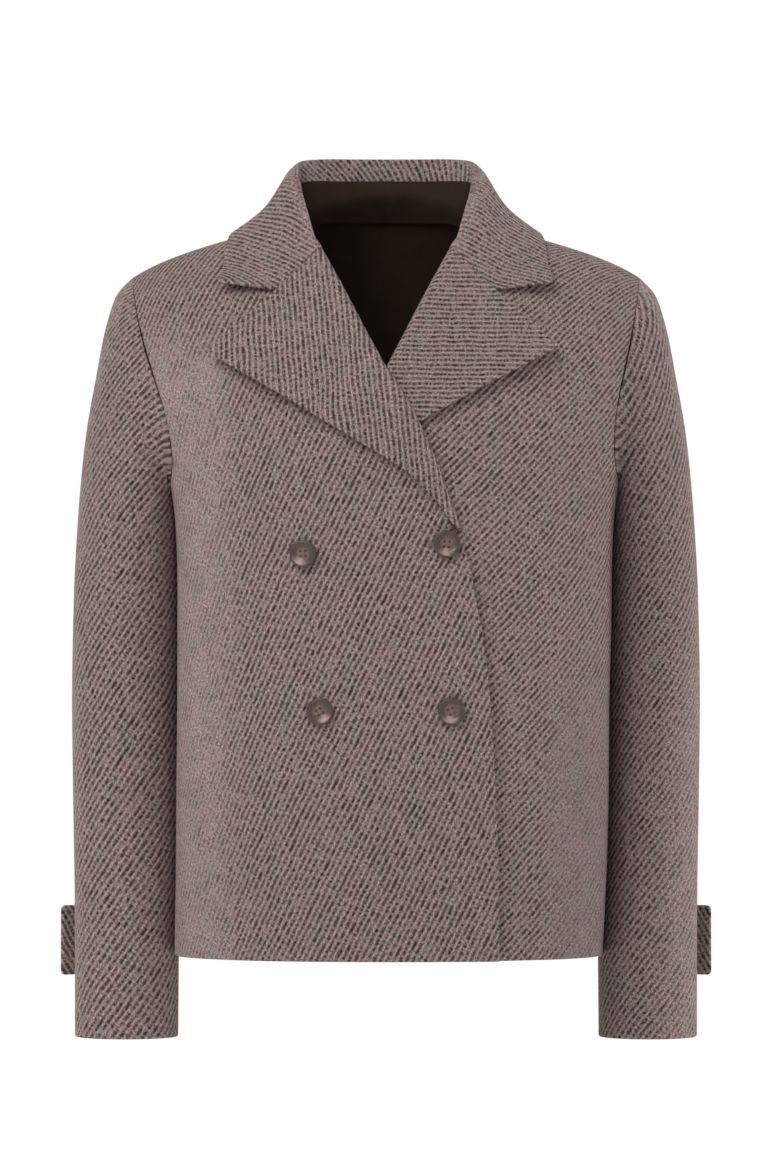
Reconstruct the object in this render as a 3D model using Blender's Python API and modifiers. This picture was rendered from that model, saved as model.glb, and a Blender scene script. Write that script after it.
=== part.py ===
"""Short double-breasted jacket in bold wool twill, modelled as hollow cloth walls.

Units are metres, with +Z up. The front faces -Y and the wearer's right side is at -X.
The origin lies between the two points where the shoulder seams meet the neck.
Tables are written in millimetres, one row for each section, and are scaled as they are read.
"""
import math

import bmesh
import bpy
import numpy as np
from mathutils import Vector

MM = 0.001
QUARTER = math.pi / 2
RIGHT = -1
LEFT = 1
FRONT = -1
BACK = 1


def table(columns, *rows):
    """Columns of a small table, by name, turned from millimetres to metres."""
    values = np.array(rows, float) * MM
    return dict(zip(columns.split(), values.T))


# Cloth thicknesses and the air between layers
WALL = 2.5 * MM
DOUBLE = 3.0 * MM
STRAP_WALL = 4.0 * MM
LINING_WALL = 1.0 * MM
SEAM_GAP = 0.4 * MM
LAYER_GAP = 0.8 * MM

# Heights of the body
HEM = -599 * MM
CHEST = -215 * MM
TIP = -48 * MM
SIDE_Y = -8 * MM
RIDGE_Y = 4 * MM

# The body's horizontal sections, from the hem up to the shoulder tip
TORSO = table(
    "height half_width shift front back",
    (-604, 174.0, 2.0, 118, 107),
    (-500, 176.0, 5.0, 118, 105),
    (-400, 176.0, 6.0, 119, 105),
    (-300, 177.0, 7.0, 122, 107),
    (-250, 178.5, 7.0, 121, 109),
    (-215, 183.0, 7.0, 120, 110),
    (-180, 195.0, 5.0, 120, 110),
    (-150, 205.5, 3.0, 120, 110),
    (-110, 217.0, 1.0, 120, 110),
    (-75, 224.0, 0.0, 120, 110),
    (-48, 228.0, 0.0, 120, 110),
)
SQUARENESS = {FRONT: 2.25, BACK: 2.10}
ROUNDING = {FRONT: 1.25, BACK: 1.0}

# The shoulder line, from the neck point outwards
NECK_X = 82 * MM
NECK_Z = -3 * MM
SHOULDER_SLOPE = 0.28
SHOULDER_REACH = 123 * MM
TIP_DROP = 8.3 * MM
TIP_CURVE = 5
NAPE_RISE = 40 * MM
NAPE_FLATNESS = 1.2
NAPE_LEVEL = 1.655
NECKLINE_CURVE = 2.2

# The armhole seam: share of the half width, and how fast it leaves the underarm
ARMHOLE_SHARE = 0.908
ARMHOLE_RISE = 0.32
ARMHOLE_CURVE = 3
ROW_CROWDING = 1.5
SIDE_STOP = 0.0016
RIDGE_STOP = {FRONT: 1.992, BACK: 1.997}

# The edge of a front as seen: front edge, then the roll line of its lapel (right side)
BREAK = -261 * MM
FRONT_EDGE = table(
    "height x",
    (-604, 89.0),
    (-555, 89.0),
    (-473, 86.5),
    (-408, 83.0),
    (-343, 76.5),
    (-302, 69.5),
    (-274, 64.6),
    (-261, 62.0),
    (-220, 48.0),
    (-163, 23.5),
    (-126, 1.6),
    (-57, -34.5),
    (-17, -56.0),
)
FOLD = 5.2 * MM
FOLD_SET = 5.9 * MM
FOLD_SET_RUN = 12 * MM
GORGE_SET = 4.0 * MM
FOLD_START = math.radians(-20)
FOLD_SHARE = 0.4

# How far the right front stands off to pass over the left front and its lapel
LAP_START = -152 * MM
LAP_FULL = -98 * MM
LAP_LIFT = WALL + LAYER_GAP
LAP_TOP = -112 * MM
LAP_TOP_FADE = 40 * MM
UNDER_LAPEL_LIFT = 5.4 * MM
UNDER_LAPEL_END = -192 * MM
UNDER_LAPEL_EASE = 36 * MM
FREE_EDGE_LIFT = 3.0 * MM
FREE_EDGE_RUN = 45 * MM

# The lapels, both as on the right side: heights along the roll line and the outer edge, from the gorge down
LAPEL = {
    RIGHT: table(
        "roll_z edge_x edge_z",
        (-25.5, -138.4, -113.4),
        (-58.0, -109.6, -131.3),
        (-102.0, -67.8, -156.2),
        (-148.0, -21.6, -184.6),
        (-197.0, 20.0, -209.5),
        (-232.0, 39.5, -231.0),
        (-254.0, 52.0, -249.0),
    ),
    LEFT: table(
        "roll_z edge_x edge_z",
        (-25.5, -135.4, -109.8),
        (-58.0, -106.2, -125.3),
        (-102.0, -63.0, -147.7),
        (-148.0, -16.2, -175.0),
        (-197.0, 22.0, -204.0),
        (-232.0, 40.5, -229.0),
        (-254.0, 52.0, -249.0),
    ),
}
LAPEL_EDGE_LIFT = 7.0 * MM
LAPEL_LIFT_END = {RIGHT: 0.95, LEFT: 0.6}
LAPEL_AIR = {RIGHT: 1.2 * MM, LEFT: 0.0}
LAPEL_AIR_RUN = 0.3
# The left lapel stops where the right front hides it
LAPEL_SHOWN = {RIGHT: 1.0, LEFT: 0.53}

# The collar's half, from the middle of the back to its front end
COLLAR_STATION = np.array((0.0, 0.125, 0.25, 0.375, 0.5, 0.7, 0.85, 1.0))
COLLAR = table(
    "neck_x neck_y neck_z roll_x roll_y roll_z edge_x",
    (0, 57, 22, 0, 62, 53, 0),
    (18.5, 55.3, 20.6, 21, 61.2, 53, 31),
    (36, 50, 16.5, 43, 58.5, 53, 62),
    (54, 38, 11, 62, 50, 52, 88),
    (69, 22, 5, 72, 35, 48.5, 112),
    (78, -2, 1, 71.5, 2, 37, 125),
    (71, -26, -5, 64.5, -28, 9, 130),
    (60, -41, -16, 56, -47, -17, 131),
)
COLLAR_EDGE_OVER = np.array((2.495, 2.456, 2.331, 2.238, 2.171, 2.0, 1.75, 1.574))
COLLAR_END_START = 0.88
COLLAR_END_FULL = 0.985
COLLAR_RUN = 160 * MM
COLLAR_REST = 4.6 * MM
COLLAR_SAG = 4.0 * MM
COLLAR_FOLD_DROP = 8 * MM
COLLAR_FOLD_IN = 3.0 * MM
COLLAR_FOLD_OUT = 6.5 * MM
SHOULDER_LEVEL = 1.999
# The collar's front end runs beside the lapel's top edge, round the same fold, to the notch
GORGE_GAP = 1.2 * MM
ROLL_LEAN = 0.42
NOTCH_OUT = 50.5 * MM
CORNER_Z = -60 * MM
COLLAR_CORNER_LIFT = 5.0 * MM
SECTION_KNOTS = np.array((0.0, 0.22, 0.41, 0.60, 0.80, 1.0))

# A sleeve's rings, from the armhole to the cuff
SLEEVE = table(
    "outer_x outer_z inner_x inner_z middle_y half_depth",
    (207.0, -48, 182.5, -215, 0, 52),
    (219.5, -61, 181.5, -222, 4, 54),
    (229.0, -88, 179.5, -230, 10, 56),
    (237.5, -130, 177.0, -243, 16, 58),
    (246.0, -178, 175.5, -262, 22, 58),
    (252.0, -238, 174.0, -292, 27, 58),
    (256.0, -310, 173.0, -340, 30, 57),
    (257.5, -392, 172.5, -402, 32, 54),
    (256.5, -473, 172.0, -475, 30, 51),
    (255.0, -560, 171.5, -560, 25, 48),
    (254.5, -667, 172.0, -667, 18, 45),
)
SLEEVE_BLEND_ROWS = 3.0
SLEEVE_CLEAR = 1.8 * MM
SLEEVE_CLEAR_ROWS = 0.7
SLEEVE_LEAVE_Z = -178 * MM
SLEEVE_LEAVE = 0.6
UNDERARM_TURN = 0.8
UNDERARM_GAP = 0.8 * MM

# The cuff strap: a double band on the back of the sleeve with a free end
STRAP_TOP = -561 * MM
STRAP_BOTTOM = -618 * MM
STRAP_FREE_X = 266.5 * MM
STRAP_ROOT_TURN = math.radians(115)
STRAP_LEAVE_TURN = math.radians(64)
STRAP_CORNER = 3.5 * MM
STRAP_SEWN = 0.5
SMALL_STEP = 0.004

# Buttons: their middles on the right front, and their turned profile
BUTTON_PLACES = table(
    "x z",
    (-64.5, -273.0),
    (48.0, -265.5),
    (-51.5, -399.0),
    (52.0, -398.5),
)
BUTTON_PROFILE = table(
    "radius height",
    (0.0, 2.6),
    (5.6, 2.7),
    (7.8, 3.9),
    (9.7, 4.1),
    (11.0, 3.0),
    (10.6, 1.4),
    (8.6, 0.2),
    (0.0, 0.0),
)
BUTTON_STAND = 1.8 * MM
BUTTON_STEPS = 16
HOLE_RADIUS = 1.0 * MM
HOLE_SPACING = 2.1 * MM
HOLE_SIDES = 8
HOLE_BAR = 20 * MM

# Grids, across and up: the lining shares the back's, and a sleeve's ring has the panels' armhole rows
BACK_CELLS = (20, 24)
BACK_MIDDLE = 0.7
FRONT_CELLS = (14, 24)
SLEEVE_CELLS = (24, 15)
COLLAR_CELLS = (28, 10)
FACING_CELLS = (14, 4)
STRAP_CELLS = (8, 8)
LAPEL_CELLS = {RIGHT: (10, 15), LEFT: (10, 8)}
SHARP_ANGLE = math.radians(50)
WELD = 0.05 * MM

# The dark lining inside the upper back: the cells of the back that it covers, and the facing above it
LINING_GAP = 1.6 * MM
LINING_COLUMNS = (2, 18)
LINING_ROWS = (13, 23)
FACING_FOOT_Z = 1.0 * MM
FACING_FOOT_SHARE = 0.90
FACING_STATION = 0.62
FACING_TOP = 0.11
FACING_TOP_RISE = 0.06
FACING_CLEAR = np.array((4.4, 7.0, 2.6)) * MM
FACING_KNOTS = np.array((0.0, 0.5, 1.0))

# Colours (linear), roughness
TWILL = ("wool twill", (0.205, 0.152, 0.140), 0.92)
LINING = ("dark lining", (0.012, 0.009, 0.007), 0.55)
HORN = ("horn", (0.065, 0.045, 0.040), 0.35)


def smooth(knots, values, at):
    """Smooth curve through the knots with no overshoot: a cubic whose slopes are harmonic means."""
    at = np.clip(np.asarray(at, float), knots[0], knots[-1])
    flat = at.ravel()
    values = np.asarray(values, float)
    if values.ndim == 1:
        values = np.repeat(values[:, None], flat.size, axis=1)
    step = np.diff(knots)
    rise = np.diff(values, axis=0) / step[:, None]
    product = rise[:-1] * rise[1:]
    total = np.where(product > 0, rise[:-1] + rise[1:], 1.0)
    slope = np.zeros_like(values)
    slope[1:-1] = np.where(product > 0, 2 * product / total, 0.0)
    slope[0] = rise[0]
    slope[-1] = rise[-1]
    low = np.clip(np.searchsorted(knots, flat, side="right") - 1, 0, len(knots) - 2)
    each = np.arange(flat.size)
    width = step[low]
    part = (flat - knots[low]) / width
    start = values[low, each] * (1 + 2 * part) * (1 - part) ** 2
    end = values[low + 1, each] * part ** 2 * (3 - 2 * part)
    leave = slope[low, each] * width * part * (1 - part) ** 2
    arrive = slope[low + 1, each] * width * part ** 2 * (part - 1)
    return (start + end + leave + arrive).reshape(at.shape)


def ease(part):
    """Smooth step from 0 to 1."""
    part = np.clip(part, 0.0, 1.0)
    return part * part * (3 - 2 * part)


def signed_power(value, power):
    """Power that keeps the sign of its base."""
    return np.sign(value) * np.abs(value) ** power


def unit(vectors):
    """Vectors of length one."""
    return vectors / np.linalg.norm(vectors, axis=-1, keepdims=True)


def stacked(x, y, z):
    """Points from their coordinates."""
    return np.stack(np.broadcast_arrays(x, y, z), axis=-1)


def facing_out(surface, u, v, sign=1.0):
    """Unit normals of surface(u, v), from differences along both parameters."""
    along_u = surface(u + SMALL_STEP, v) - surface(u - SMALL_STEP, v)
    along_v = surface(u, v + SMALL_STEP) - surface(u, v - SMALL_STEP)
    return sign * unit(np.cross(along_u, along_v))


# The body: a rounded box section below the chest, closing over it to the shoulder line

def ridge(side, across):
    """Height of the shoulder line at a distance from the middle; inside the neck it rises to the nape."""
    out = np.abs(across) - NECK_X
    inside = np.clip(-out / NECK_X, 0.0, 1.0)
    line = NECK_Z - SHOULDER_SLOPE * out - TIP_DROP * (out / SHOULDER_REACH) ** TIP_CURVE
    rise = inside ** 2 if side == FRONT else ease(inside * NAPE_FLATNESS)
    return line + NAPE_RISE * rise


def row_height(level):
    """Height of a row at the armhole: level 0 is the hem, 1 the chest and 2 the shoulder line."""
    climb = np.minimum(level, 1.0)
    dome = np.maximum(level - 1.0, 0.0) * QUARTER
    return HEM + (CHEST - HEM) * climb + (TIP - CHEST) * np.sin(dome)


def body(side, turn, level):
    """Point on the body. turn runs from the middle (0) to the side seams (a quarter turn)."""
    row = row_height(level)
    climb = np.minimum(level, 1.0)
    dome = np.maximum(level - 1.0, 0.0) * QUARTER
    across = np.sin(turn) * smooth(TORSO["height"], TORSO["half_width"], row)
    shift = smooth(TORSO["height"], TORSO["shift"], row)
    depth = smooth(TORSO["height"], TORSO["front" if side == FRONT else "back"], row)
    power = SQUARENESS[side]
    section = np.sign(np.cos(turn)) * np.abs(1 - np.abs(np.sin(turn)) ** power) ** (1 / power)
    close = signed_power(np.cos(dome), ROUNDING[side])
    middle = SIDE_Y + (RIDGE_Y - SIDE_Y) * np.sin(dome)
    z = HEM + (CHEST - HEM) * climb + (ridge(side, across) - CHEST) * np.sin(dome)
    return stacked(across + shift, middle + side * depth * close * section, z)


def body_normal(side, turn, level):
    """Outward normal of the body."""
    return facing_out(lambda a, b: body(side, a, b), turn, level, -side)


def turn_at(x, level):
    """Turn of the point at x in a row."""
    row = row_height(level)
    half = smooth(TORSO["height"], TORSO["half_width"], row)
    shift = smooth(TORSO["height"], TORSO["shift"], row)
    return np.arcsin(np.clip((x - shift) / half, -1.0, 1.0))


def locate(x, z):
    """Turn and level of the body's front at x and z: the reverse of body()."""
    x = np.asarray(x, float)
    z = np.asarray(z, float)
    shift = np.zeros_like(x)
    for _ in range(4):
        share = np.clip((z - CHEST) / (ridge(FRONT, x - shift) - CHEST), 0.0, 1.0)
        dome = 1.0 + np.arcsin(share) / QUARTER
        level = np.where(z < CHEST, (z - HEM) / (CHEST - HEM), dome)
        shift = smooth(TORSO["height"], TORSO["shift"], row_height(level))
    return turn_at(x, level), level


def seam_turn(level):
    """Turn of the side seam, and above the chest of the armhole seam."""
    rise = np.maximum(level - 1.0, 0.0)
    leave = np.clip(1.0 - rise / ARMHOLE_RISE, 0.0, 1.0) ** ARMHOLE_CURVE
    share = ARMHOLE_SHARE + (1.0 - ARMHOLE_SHARE) * leave
    return np.arcsin(share) - SIDE_STOP * leave


def panel_level(v, side):
    """Rows of a panel from hem to shoulder, closer together just above the underarm."""
    below = np.minimum(v * 2, 1.0)
    above = np.maximum(v * 2 - 1.0, 0.0) ** ROW_CROWDING
    return below + above * (RIDGE_STOP[side] - 1.0)


# The fronts

def roll_x(z):
    """The right front's visible edge at a height."""
    return smooth(FRONT_EDGE["height"], FRONT_EDGE["x"], z)


def lap_lift(x, z):
    """How far the right front stands off the body where it passes over the left front and lapel."""
    below_neck = ease((LAP_TOP + LAP_TOP_FADE - z) / LAP_TOP_FADE)
    lift = LAP_LIFT * below_neck * ease((x - LAP_START) / (LAP_FULL - LAP_START))
    past_roll = ease((x + roll_x(z)) / UNDER_LAPEL_EASE + 1.0)
    above_end = ease((z - UNDER_LAPEL_END) / UNDER_LAPEL_EASE + 1.0)
    at_free_edge = ease((x - roll_x(z)) / FREE_EDGE_RUN + 1.0) * ease((BREAK - z) / FREE_EDGE_RUN)
    return lift + UNDER_LAPEL_LIFT * past_roll * above_end + FREE_EDGE_LIFT * at_free_edge


def front_surface(hand, turn, level):
    """Outer face of a front: the body, with the right front lifted over the left."""
    points = body(FRONT, turn, level)
    if hand == LEFT:
        return points
    lift = lap_lift(points[..., 0], points[..., 2])
    return points + body_normal(FRONT, turn, level) * lift[..., None]


def front_at(hand, x, z):
    """Outer face of a front at x and z, with its normal."""
    turn, level = locate(x, z)
    outer_face = lambda a, b: front_surface(hand, a, b)
    return outer_face(turn, level), facing_out(outer_face, turn, level)


def front_edge_turn(hand, level):
    """Turn of a front's inner edge: set back by the fold along the roll line, then up to the neck point."""
    height = FRONT_EDGE["height"]
    edge = FRONT_EDGE["x"] - FOLD_SET * ease((height - BREAK) / FOLD_SET_RUN + 1.0)
    x = -hand * np.append(edge[:-1], (edge[-1] - GORGE_SET, -NECK_X))
    z = np.append(height, NECK_Z)
    level_known = locate(x, z)[1]
    return turn_at(smooth(level_known, x, level), level)


def front(hand):
    """Surface of a front panel: across from its inner edge to the side and armhole, up from the hem."""
    def surface(u, v):
        level = panel_level(v, FRONT)
        inner = front_edge_turn(hand, level)
        turn = inner + (hand * seam_turn(level) - inner) * u
        outer_face = lambda a, b: front_surface(hand, a, b)
        return outer_face(turn, level), facing_out(outer_face, turn, level)
    return surface


# The back

def neckline_level(across):
    """Level of the back's top edge: the shoulder line, dipping to the nape between the neck points."""
    rise = np.minimum(np.abs(across) / NECK_X, 1.0) ** NECKLINE_CURVE
    return NAPE_LEVEL + (RIDGE_STOP[BACK] - NAPE_LEVEL) * rise


def back_place(u, v):
    """Turn and level on the back for the panel's parameters, its columns closer in the middle."""
    level = panel_level(v, BACK)
    across = u * 2 - 1
    turn = across * (BACK_MIDDLE + (1 - BACK_MIDDLE) * across ** 2) * seam_turn(level)
    x = np.sin(turn) * smooth(TORSO["height"], TORSO["half_width"], row_height(level))
    cut = (RIDGE_STOP[BACK] - neckline_level(x)) * np.maximum(level - 1.0, 0.0) / (RIDGE_STOP[BACK] - 1.0)
    return turn, level - cut


def back(u, v):
    """Surface of the back panel."""
    turn, level = back_place(u, v)
    return body(BACK, turn, level), body_normal(BACK, turn, level)


# The sleeves

def sleeve_ring(hand, angle, row):
    """Ring of a sleeve: an ellipse between its outer and inner points, front half at positive sine."""
    rows = np.arange(len(SLEEVE["outer_x"]))
    column = {name: smooth(rows, values, row) for name, values in SLEEVE.items()}
    inner_shift = smooth(TORSO["height"], TORSO["shift"], column["inner_z"])
    outer_x = hand * column["outer_x"]
    inner_x = hand * column["inner_x"] + inner_shift
    part = (1 + np.cos(angle)) / 2
    x = inner_x + (outer_x - inner_x) * part
    z = column["inner_z"] + (column["outer_z"] - column["inner_z"]) * part
    return stacked(x, column["middle_y"] - np.sin(angle) * column["half_depth"], z)


def from_top(angle):
    """Turn from a sleeve ring's top, the same in front and behind."""
    angle = np.mod(angle, 2 * math.pi)
    return np.minimum(angle, 2 * math.pi - angle)


def armhole(hand, angle):
    """Armhole seam of the body, one seam gap out, with the body's normal there."""
    row = 1.0 - from_top(angle) / (2 * math.pi)
    in_front = np.sin(angle)[..., None] >= 0
    points = {}
    normal = {}
    for side in (FRONT, BACK):
        level = panel_level(row, side)
        turn = hand * seam_turn(level)
        points[side] = body(side, turn, level)
        normal[side] = body_normal(side, turn, level)
    lift = UNDERARM_GAP * ease(from_top(angle) / QUARTER - 1.0)
    seam = np.where(in_front, points[FRONT], points[BACK]) + stacked(hand * SEAM_GAP, 0.0, lift)
    return seam, np.where(in_front, normal[FRONT], normal[BACK])


def sleeve_points(hand, u, v):
    """Sleeve tube: rings down the arm, the first few drawn on to the armhole seam."""
    angle = u * 2 * math.pi
    row = v * (len(SLEEVE["outer_x"]) - 1)
    points = sleeve_ring(hand, angle, row)
    pull = np.clip(1 - row / SLEEVE_BLEND_ROWS, 0.0, 1.0) ** 2
    seam = armhole(hand, angle)[0] - sleeve_ring(hand, angle, np.zeros_like(row))
    return beside_body(hand, points + seam * pull[..., None], row)


def beside_body(hand, points, row):
    """Sleeve points moved out where they would come too near the side of the body."""
    x, y, z = np.moveaxis(points, -1, 0)
    dome = np.arcsin(np.clip((z - CHEST) / (TIP - CHEST), 0.0, 1.0))
    half = smooth(TORSO["height"], TORSO["half_width"], z)
    shift = smooth(TORSO["height"], TORSO["shift"], z)
    away = y - SIDE_Y - (RIDGE_Y - SIDE_Y) * np.sin(dome)
    reach = {}
    for side, name in ((FRONT, "front"), (BACK, "back")):
        depth = smooth(TORSO["height"], TORSO[name], z) * np.cos(dome) ** ROUNDING[side]
        within = np.minimum(np.abs(away) / depth, 1.0)
        reach[side] = half * (1 - within ** SQUARENESS[side]) ** (1 / SQUARENESS[side])
    clear = SEAM_GAP + SLEEVE_CLEAR * ease(row / SLEEVE_CLEAR_ROWS)
    clear = clear - np.maximum(z - SLEEVE_LEAVE_Z, 0.0) * SLEEVE_LEAVE
    nearest = np.where(away < 0, reach[FRONT], reach[BACK]) + clear
    return stacked(shift + hand * np.maximum(hand * (x - shift), nearest), y, z)


def sleeve(hand):
    """Surface of a sleeve; along the armhole its wall stands like the body's, but for the underarm."""
    def surface(u, v):
        place = lambda a, b: sleeve_points(hand, a, np.clip(b, 0.0, 1.0))
        normal = facing_out(place, u, v, hand)
        angle = u * 2 * math.pi
        above_underarm = ease((math.pi - from_top(angle)) / UNDERARM_TURN)
        body_share = above_underarm * np.clip(1 - v * SLEEVE_CELLS[1], 0.0, 1.0)
        shoulder = armhole(hand, angle)[1]
        return place(u, v), unit(normal + (shoulder - normal) * body_share[..., None])
    return surface


# The lapels

def lapel_points(hand, u, v):
    """Lapel: round the fold at the roll line, then flat on the front out to its edge."""
    v = np.clip(v, 0.0, 1.0)
    rows = np.linspace(0.0, 1.0, len(LAPEL[hand]["roll_z"]))
    column = {name: smooth(rows, values, v) for name, values in LAPEL[hand].items()}
    column["roll_x"] = roll_x(column["roll_z"])
    run_x = column["edge_x"] - column["roll_x"]
    run_z = column["edge_z"] - column["roll_z"]
    width = np.hypot(run_x, run_z)
    angle = FOLD_START + (QUARTER - FOLD_START) * np.clip(u / FOLD_SHARE, 0.0, 1.0)
    flat = np.clip((u - FOLD_SHARE) / (1 - FOLD_SHARE), 0.0, 1.0)
    out = FOLD * (1 - np.cos(angle)) + (width - FOLD) * flat
    lift = LAPEL_EDGE_LIFT * (1 - ease(v / LAPEL_LIFT_END[hand])) * flat ** 2
    lift = lift + LAPEL_AIR[hand] * ease(flat / LAPEL_AIR_RUN)
    height = FOLD * np.sin(angle) - WALL / 2 + lift
    x = column["roll_x"] + run_x / width * out
    z = column["roll_z"] + run_z / width * out
    points, normal = front_at(hand, -hand * x, z)
    return points + normal * height[..., None]


def lapel(hand):
    """Surface of a lapel with its outward normal."""
    def surface(u, v):
        shown = LAPEL_SHOWN[hand]
        place = lambda a, b: lapel_points(hand, np.clip(a, 0.0, 1.0), np.clip(b, 0.0, 1.0) * shown)
        return place(u, v), facing_out(place, u, v, -hand)
    return surface


# The collar

def over_body(x, over):
    """Point and normal on the body at x, by a level that runs past the shoulder line (2) to the back (3)."""
    level = np.minimum(np.where(over > 2, 4 - over, over), SHOULDER_LEVEL)
    turn = turn_at(x, level)
    behind = (over > 2)[..., None]
    points = np.where(behind, body(BACK, turn, level), body(FRONT, turn, level))
    normal = np.where(behind, body_normal(BACK, turn, level), body_normal(FRONT, turn, level))
    return points, normal


def collar_end(side, at, v):
    """Strip at the collar's front end: round the fold, beside the lapel to the notch, then to the corner."""
    gap = GORGE_GAP + (1 - at) * COLLAR_RUN
    roll_z = LAPEL[RIGHT]["roll_z"][0]
    start_x = roll_x(roll_z)
    run_x = LAPEL[RIGHT]["edge_x"][0] - start_x
    run_z = LAPEL[RIGHT]["edge_z"][0] - roll_z
    width = math.hypot(run_x, run_z)
    turn = FOLD_START + (QUARTER - FOLD_START) * np.clip(v / SECTION_KNOTS[3], 0.0, 1.0)
    along = np.clip((v - SECTION_KNOTS[3]) / (SECTION_KNOTS[4] - SECTION_KNOTS[3]), 0.0, 1.0)
    beyond = np.clip((v - SECTION_KNOTS[4]) / (SECTION_KNOTS[5] - SECTION_KNOTS[4]), 0.0, 1.0)
    out = FOLD * (1 - np.cos(turn)) + (NOTCH_OUT - FOLD) * along
    # Away from its end the strip follows the roll line at its fold, and stands square to the gorge at the notch
    x = start_x + run_x / width * out - gap * (ROLL_LEAN * (1 - along) - run_z / width * along)
    z = roll_z + run_z / width * out + gap * (1 - along - run_x / width * along)
    x = x + (-COLLAR["edge_x"][-1] - x) * beyond
    z = z + (CORNER_Z + gap - z) * beyond
    points, normal = front_at(LEFT, -side * x, z)
    height = FOLD * np.sin(turn) - WALL / 2 + COLLAR_CORNER_LIFT * beyond
    return points + normal * height[..., None]


def mirrored(values, at, sign):
    """Collar value at a station, smooth across the middle of the back."""
    knots = np.insert(COLLAR_STATION, 0, -COLLAR_STATION[1])
    return smooth(knots, np.insert(values, 0, sign * values[1]), at)


def collar_section(station):
    """Six points of the collar's section: neck seam, inside of the fold, fold, outside, middle, edge."""
    side = np.where(station < 0, RIGHT, LEFT)
    at = np.abs(station)
    column = {name: mirrored(values, at, -1 if name.endswith("_x") else 1) for name, values in COLLAR.items()}
    over = mirrored(COLLAR_EDGE_OVER, at, 1)
    neck = stacked(side * column["neck_x"], column["neck_y"], column["neck_z"])
    roll = stacked(side * column["roll_x"], column["roll_y"], column["roll_z"])
    edge, edge_normal = over_body(side * column["edge_x"], over)
    edge = edge + edge_normal * COLLAR_REST
    crest = unit(unit(roll - neck) + unit(roll - edge))
    outward = edge - neck
    outward = unit(outward - crest * np.sum(outward * crest, axis=-1, keepdims=True))
    inside = roll - crest * COLLAR_FOLD_DROP - outward * COLLAR_FOLD_IN
    outside = roll - crest * COLLAR_FOLD_DROP + outward * COLLAR_FOLD_OUT
    middle = (outside + edge) / 2 - outward * COLLAR_SAG
    return neck, inside, roll, outside, middle, edge


def collar_points(u, v):
    """Collar: its section carried from one front end round the neck to the other."""
    station = np.clip(u, 0.0, 1.0) * 2 - 1
    v = np.clip(v, 0.0, 1.0)
    section = collar_section(station)
    axes = [smooth(SECTION_KNOTS, np.array([point[..., axis] for point in section]), v) for axis in range(3)]
    points = np.stack(axes, axis=-1)
    at = np.abs(station)
    near_end = ease((at - COLLAR_END_START) / (COLLAR_END_FULL - COLLAR_END_START))[..., None]
    return points + (collar_end(np.where(station < 0, RIGHT, LEFT), at, v) - points) * near_end


def collar(u, v):
    """Surface of the collar with the normal of its visible face."""
    return collar_points(u, v), facing_out(collar_points, u, v)


# The lining inside the back

def lining_back(u, v):
    """Surface of the back lining, on the back's own grid, its visible face towards the wearer."""
    across = (LINING_COLUMNS[0] + (LINING_COLUMNS[1] - LINING_COLUMNS[0]) * u) / BACK_CELLS[0]
    up = (LINING_ROWS[0] + (LINING_ROWS[1] - LINING_ROWS[0]) * v) / BACK_CELLS[1]
    points, normal = back(across, up)
    return points - normal * (WALL + LINING_GAP + LINING_WALL), -normal


def facing_foot(x):
    """Point and normal on the back where the facing ends, at x: level across, but always below the neckline."""
    share = np.clip((FACING_FOOT_Z - CHEST) / (ridge(BACK, x) - CHEST), 0.0, 1.0)
    level = 1.0 + np.minimum(np.arcsin(share) / QUARTER, FACING_FOOT_SHARE * (neckline_level(x) - 1.0))
    turn = turn_at(x, level)
    return body(BACK, turn, level), body_normal(BACK, turn, level)


def neck_facing_points(u, v):
    """Neck facing: from the foot on the back, past the neck seam, up on to the collar's stand."""
    v = np.clip(v, 0.0, 1.0)
    across = np.clip(u, 0.0, 1.0) * 2 - 1
    stand_u = (across * FACING_STATION + 1) / 2
    top, top_normal = collar(stand_u, FACING_TOP + FACING_TOP_RISE * across ** 2)
    seam, seam_normal = collar(stand_u, np.zeros_like(u))
    foot, foot_normal = facing_foot(seam[..., 0])
    foot = foot - foot_normal * (WALL + FACING_CLEAR[0])
    points = np.array((foot, seam + seam_normal * FACING_CLEAR[1], top + top_normal * FACING_CLEAR[2]))
    return np.stack([smooth(FACING_KNOTS, points[..., axis], v) for axis in range(3)], axis=-1)


def neck_facing(u, v):
    """Surface of the neck facing with the normal that faces the neck."""
    return neck_facing_points(u, v), facing_out(neck_facing_points, u, v)


# The cuff straps

def cuff_strap(hand):
    """Surface of a cuff strap: along the back of the sleeve, then straight off it to a free end."""
    def points(u, v):
        z = STRAP_TOP + (STRAP_BOTTOM - STRAP_TOP) * v
        last_row = len(SLEEVE["outer_z"]) - 1
        down = smooth(-SLEEVE["outer_z"], np.arange(last_row + 1), -z) / last_row
        angle = STRAP_ROOT_TURN + (STRAP_LEAVE_TURN - STRAP_ROOT_TURN) * np.clip(u / STRAP_SEWN, 0.0, 1.0)
        around = -angle / (2 * math.pi)
        face, normal = sleeve(hand)(around, down)
        face = face + normal * (STRAP_WALL + LAYER_GAP)
        before = sleeve_points(hand, around - SMALL_STEP, down)
        ahead = unit(sleeve_points(hand, around + SMALL_STEP, down) - before)
        corner = np.minimum(np.minimum(v, 1 - v) * (STRAP_TOP - STRAP_BOTTOM) / STRAP_CORNER, 1.0)
        trim = STRAP_CORNER * (1 - np.sqrt(1 - (1 - corner) ** 2))
        length = (STRAP_FREE_X - trim - np.abs(face[..., 0])) / np.abs(ahead[..., 0])
        off = np.clip((u - STRAP_SEWN) / (1 - STRAP_SEWN), 0.0, 1.0)
        return face + ahead * (length * off)[..., None]

    def surface(u, v):
        place = lambda a, b: points(np.clip(a, 0.0, 1.0), np.clip(b, 0.0, 1.0))
        return place(u, v), facing_out(place, u, v, -hand)
    return surface


# Building the objects

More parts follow.
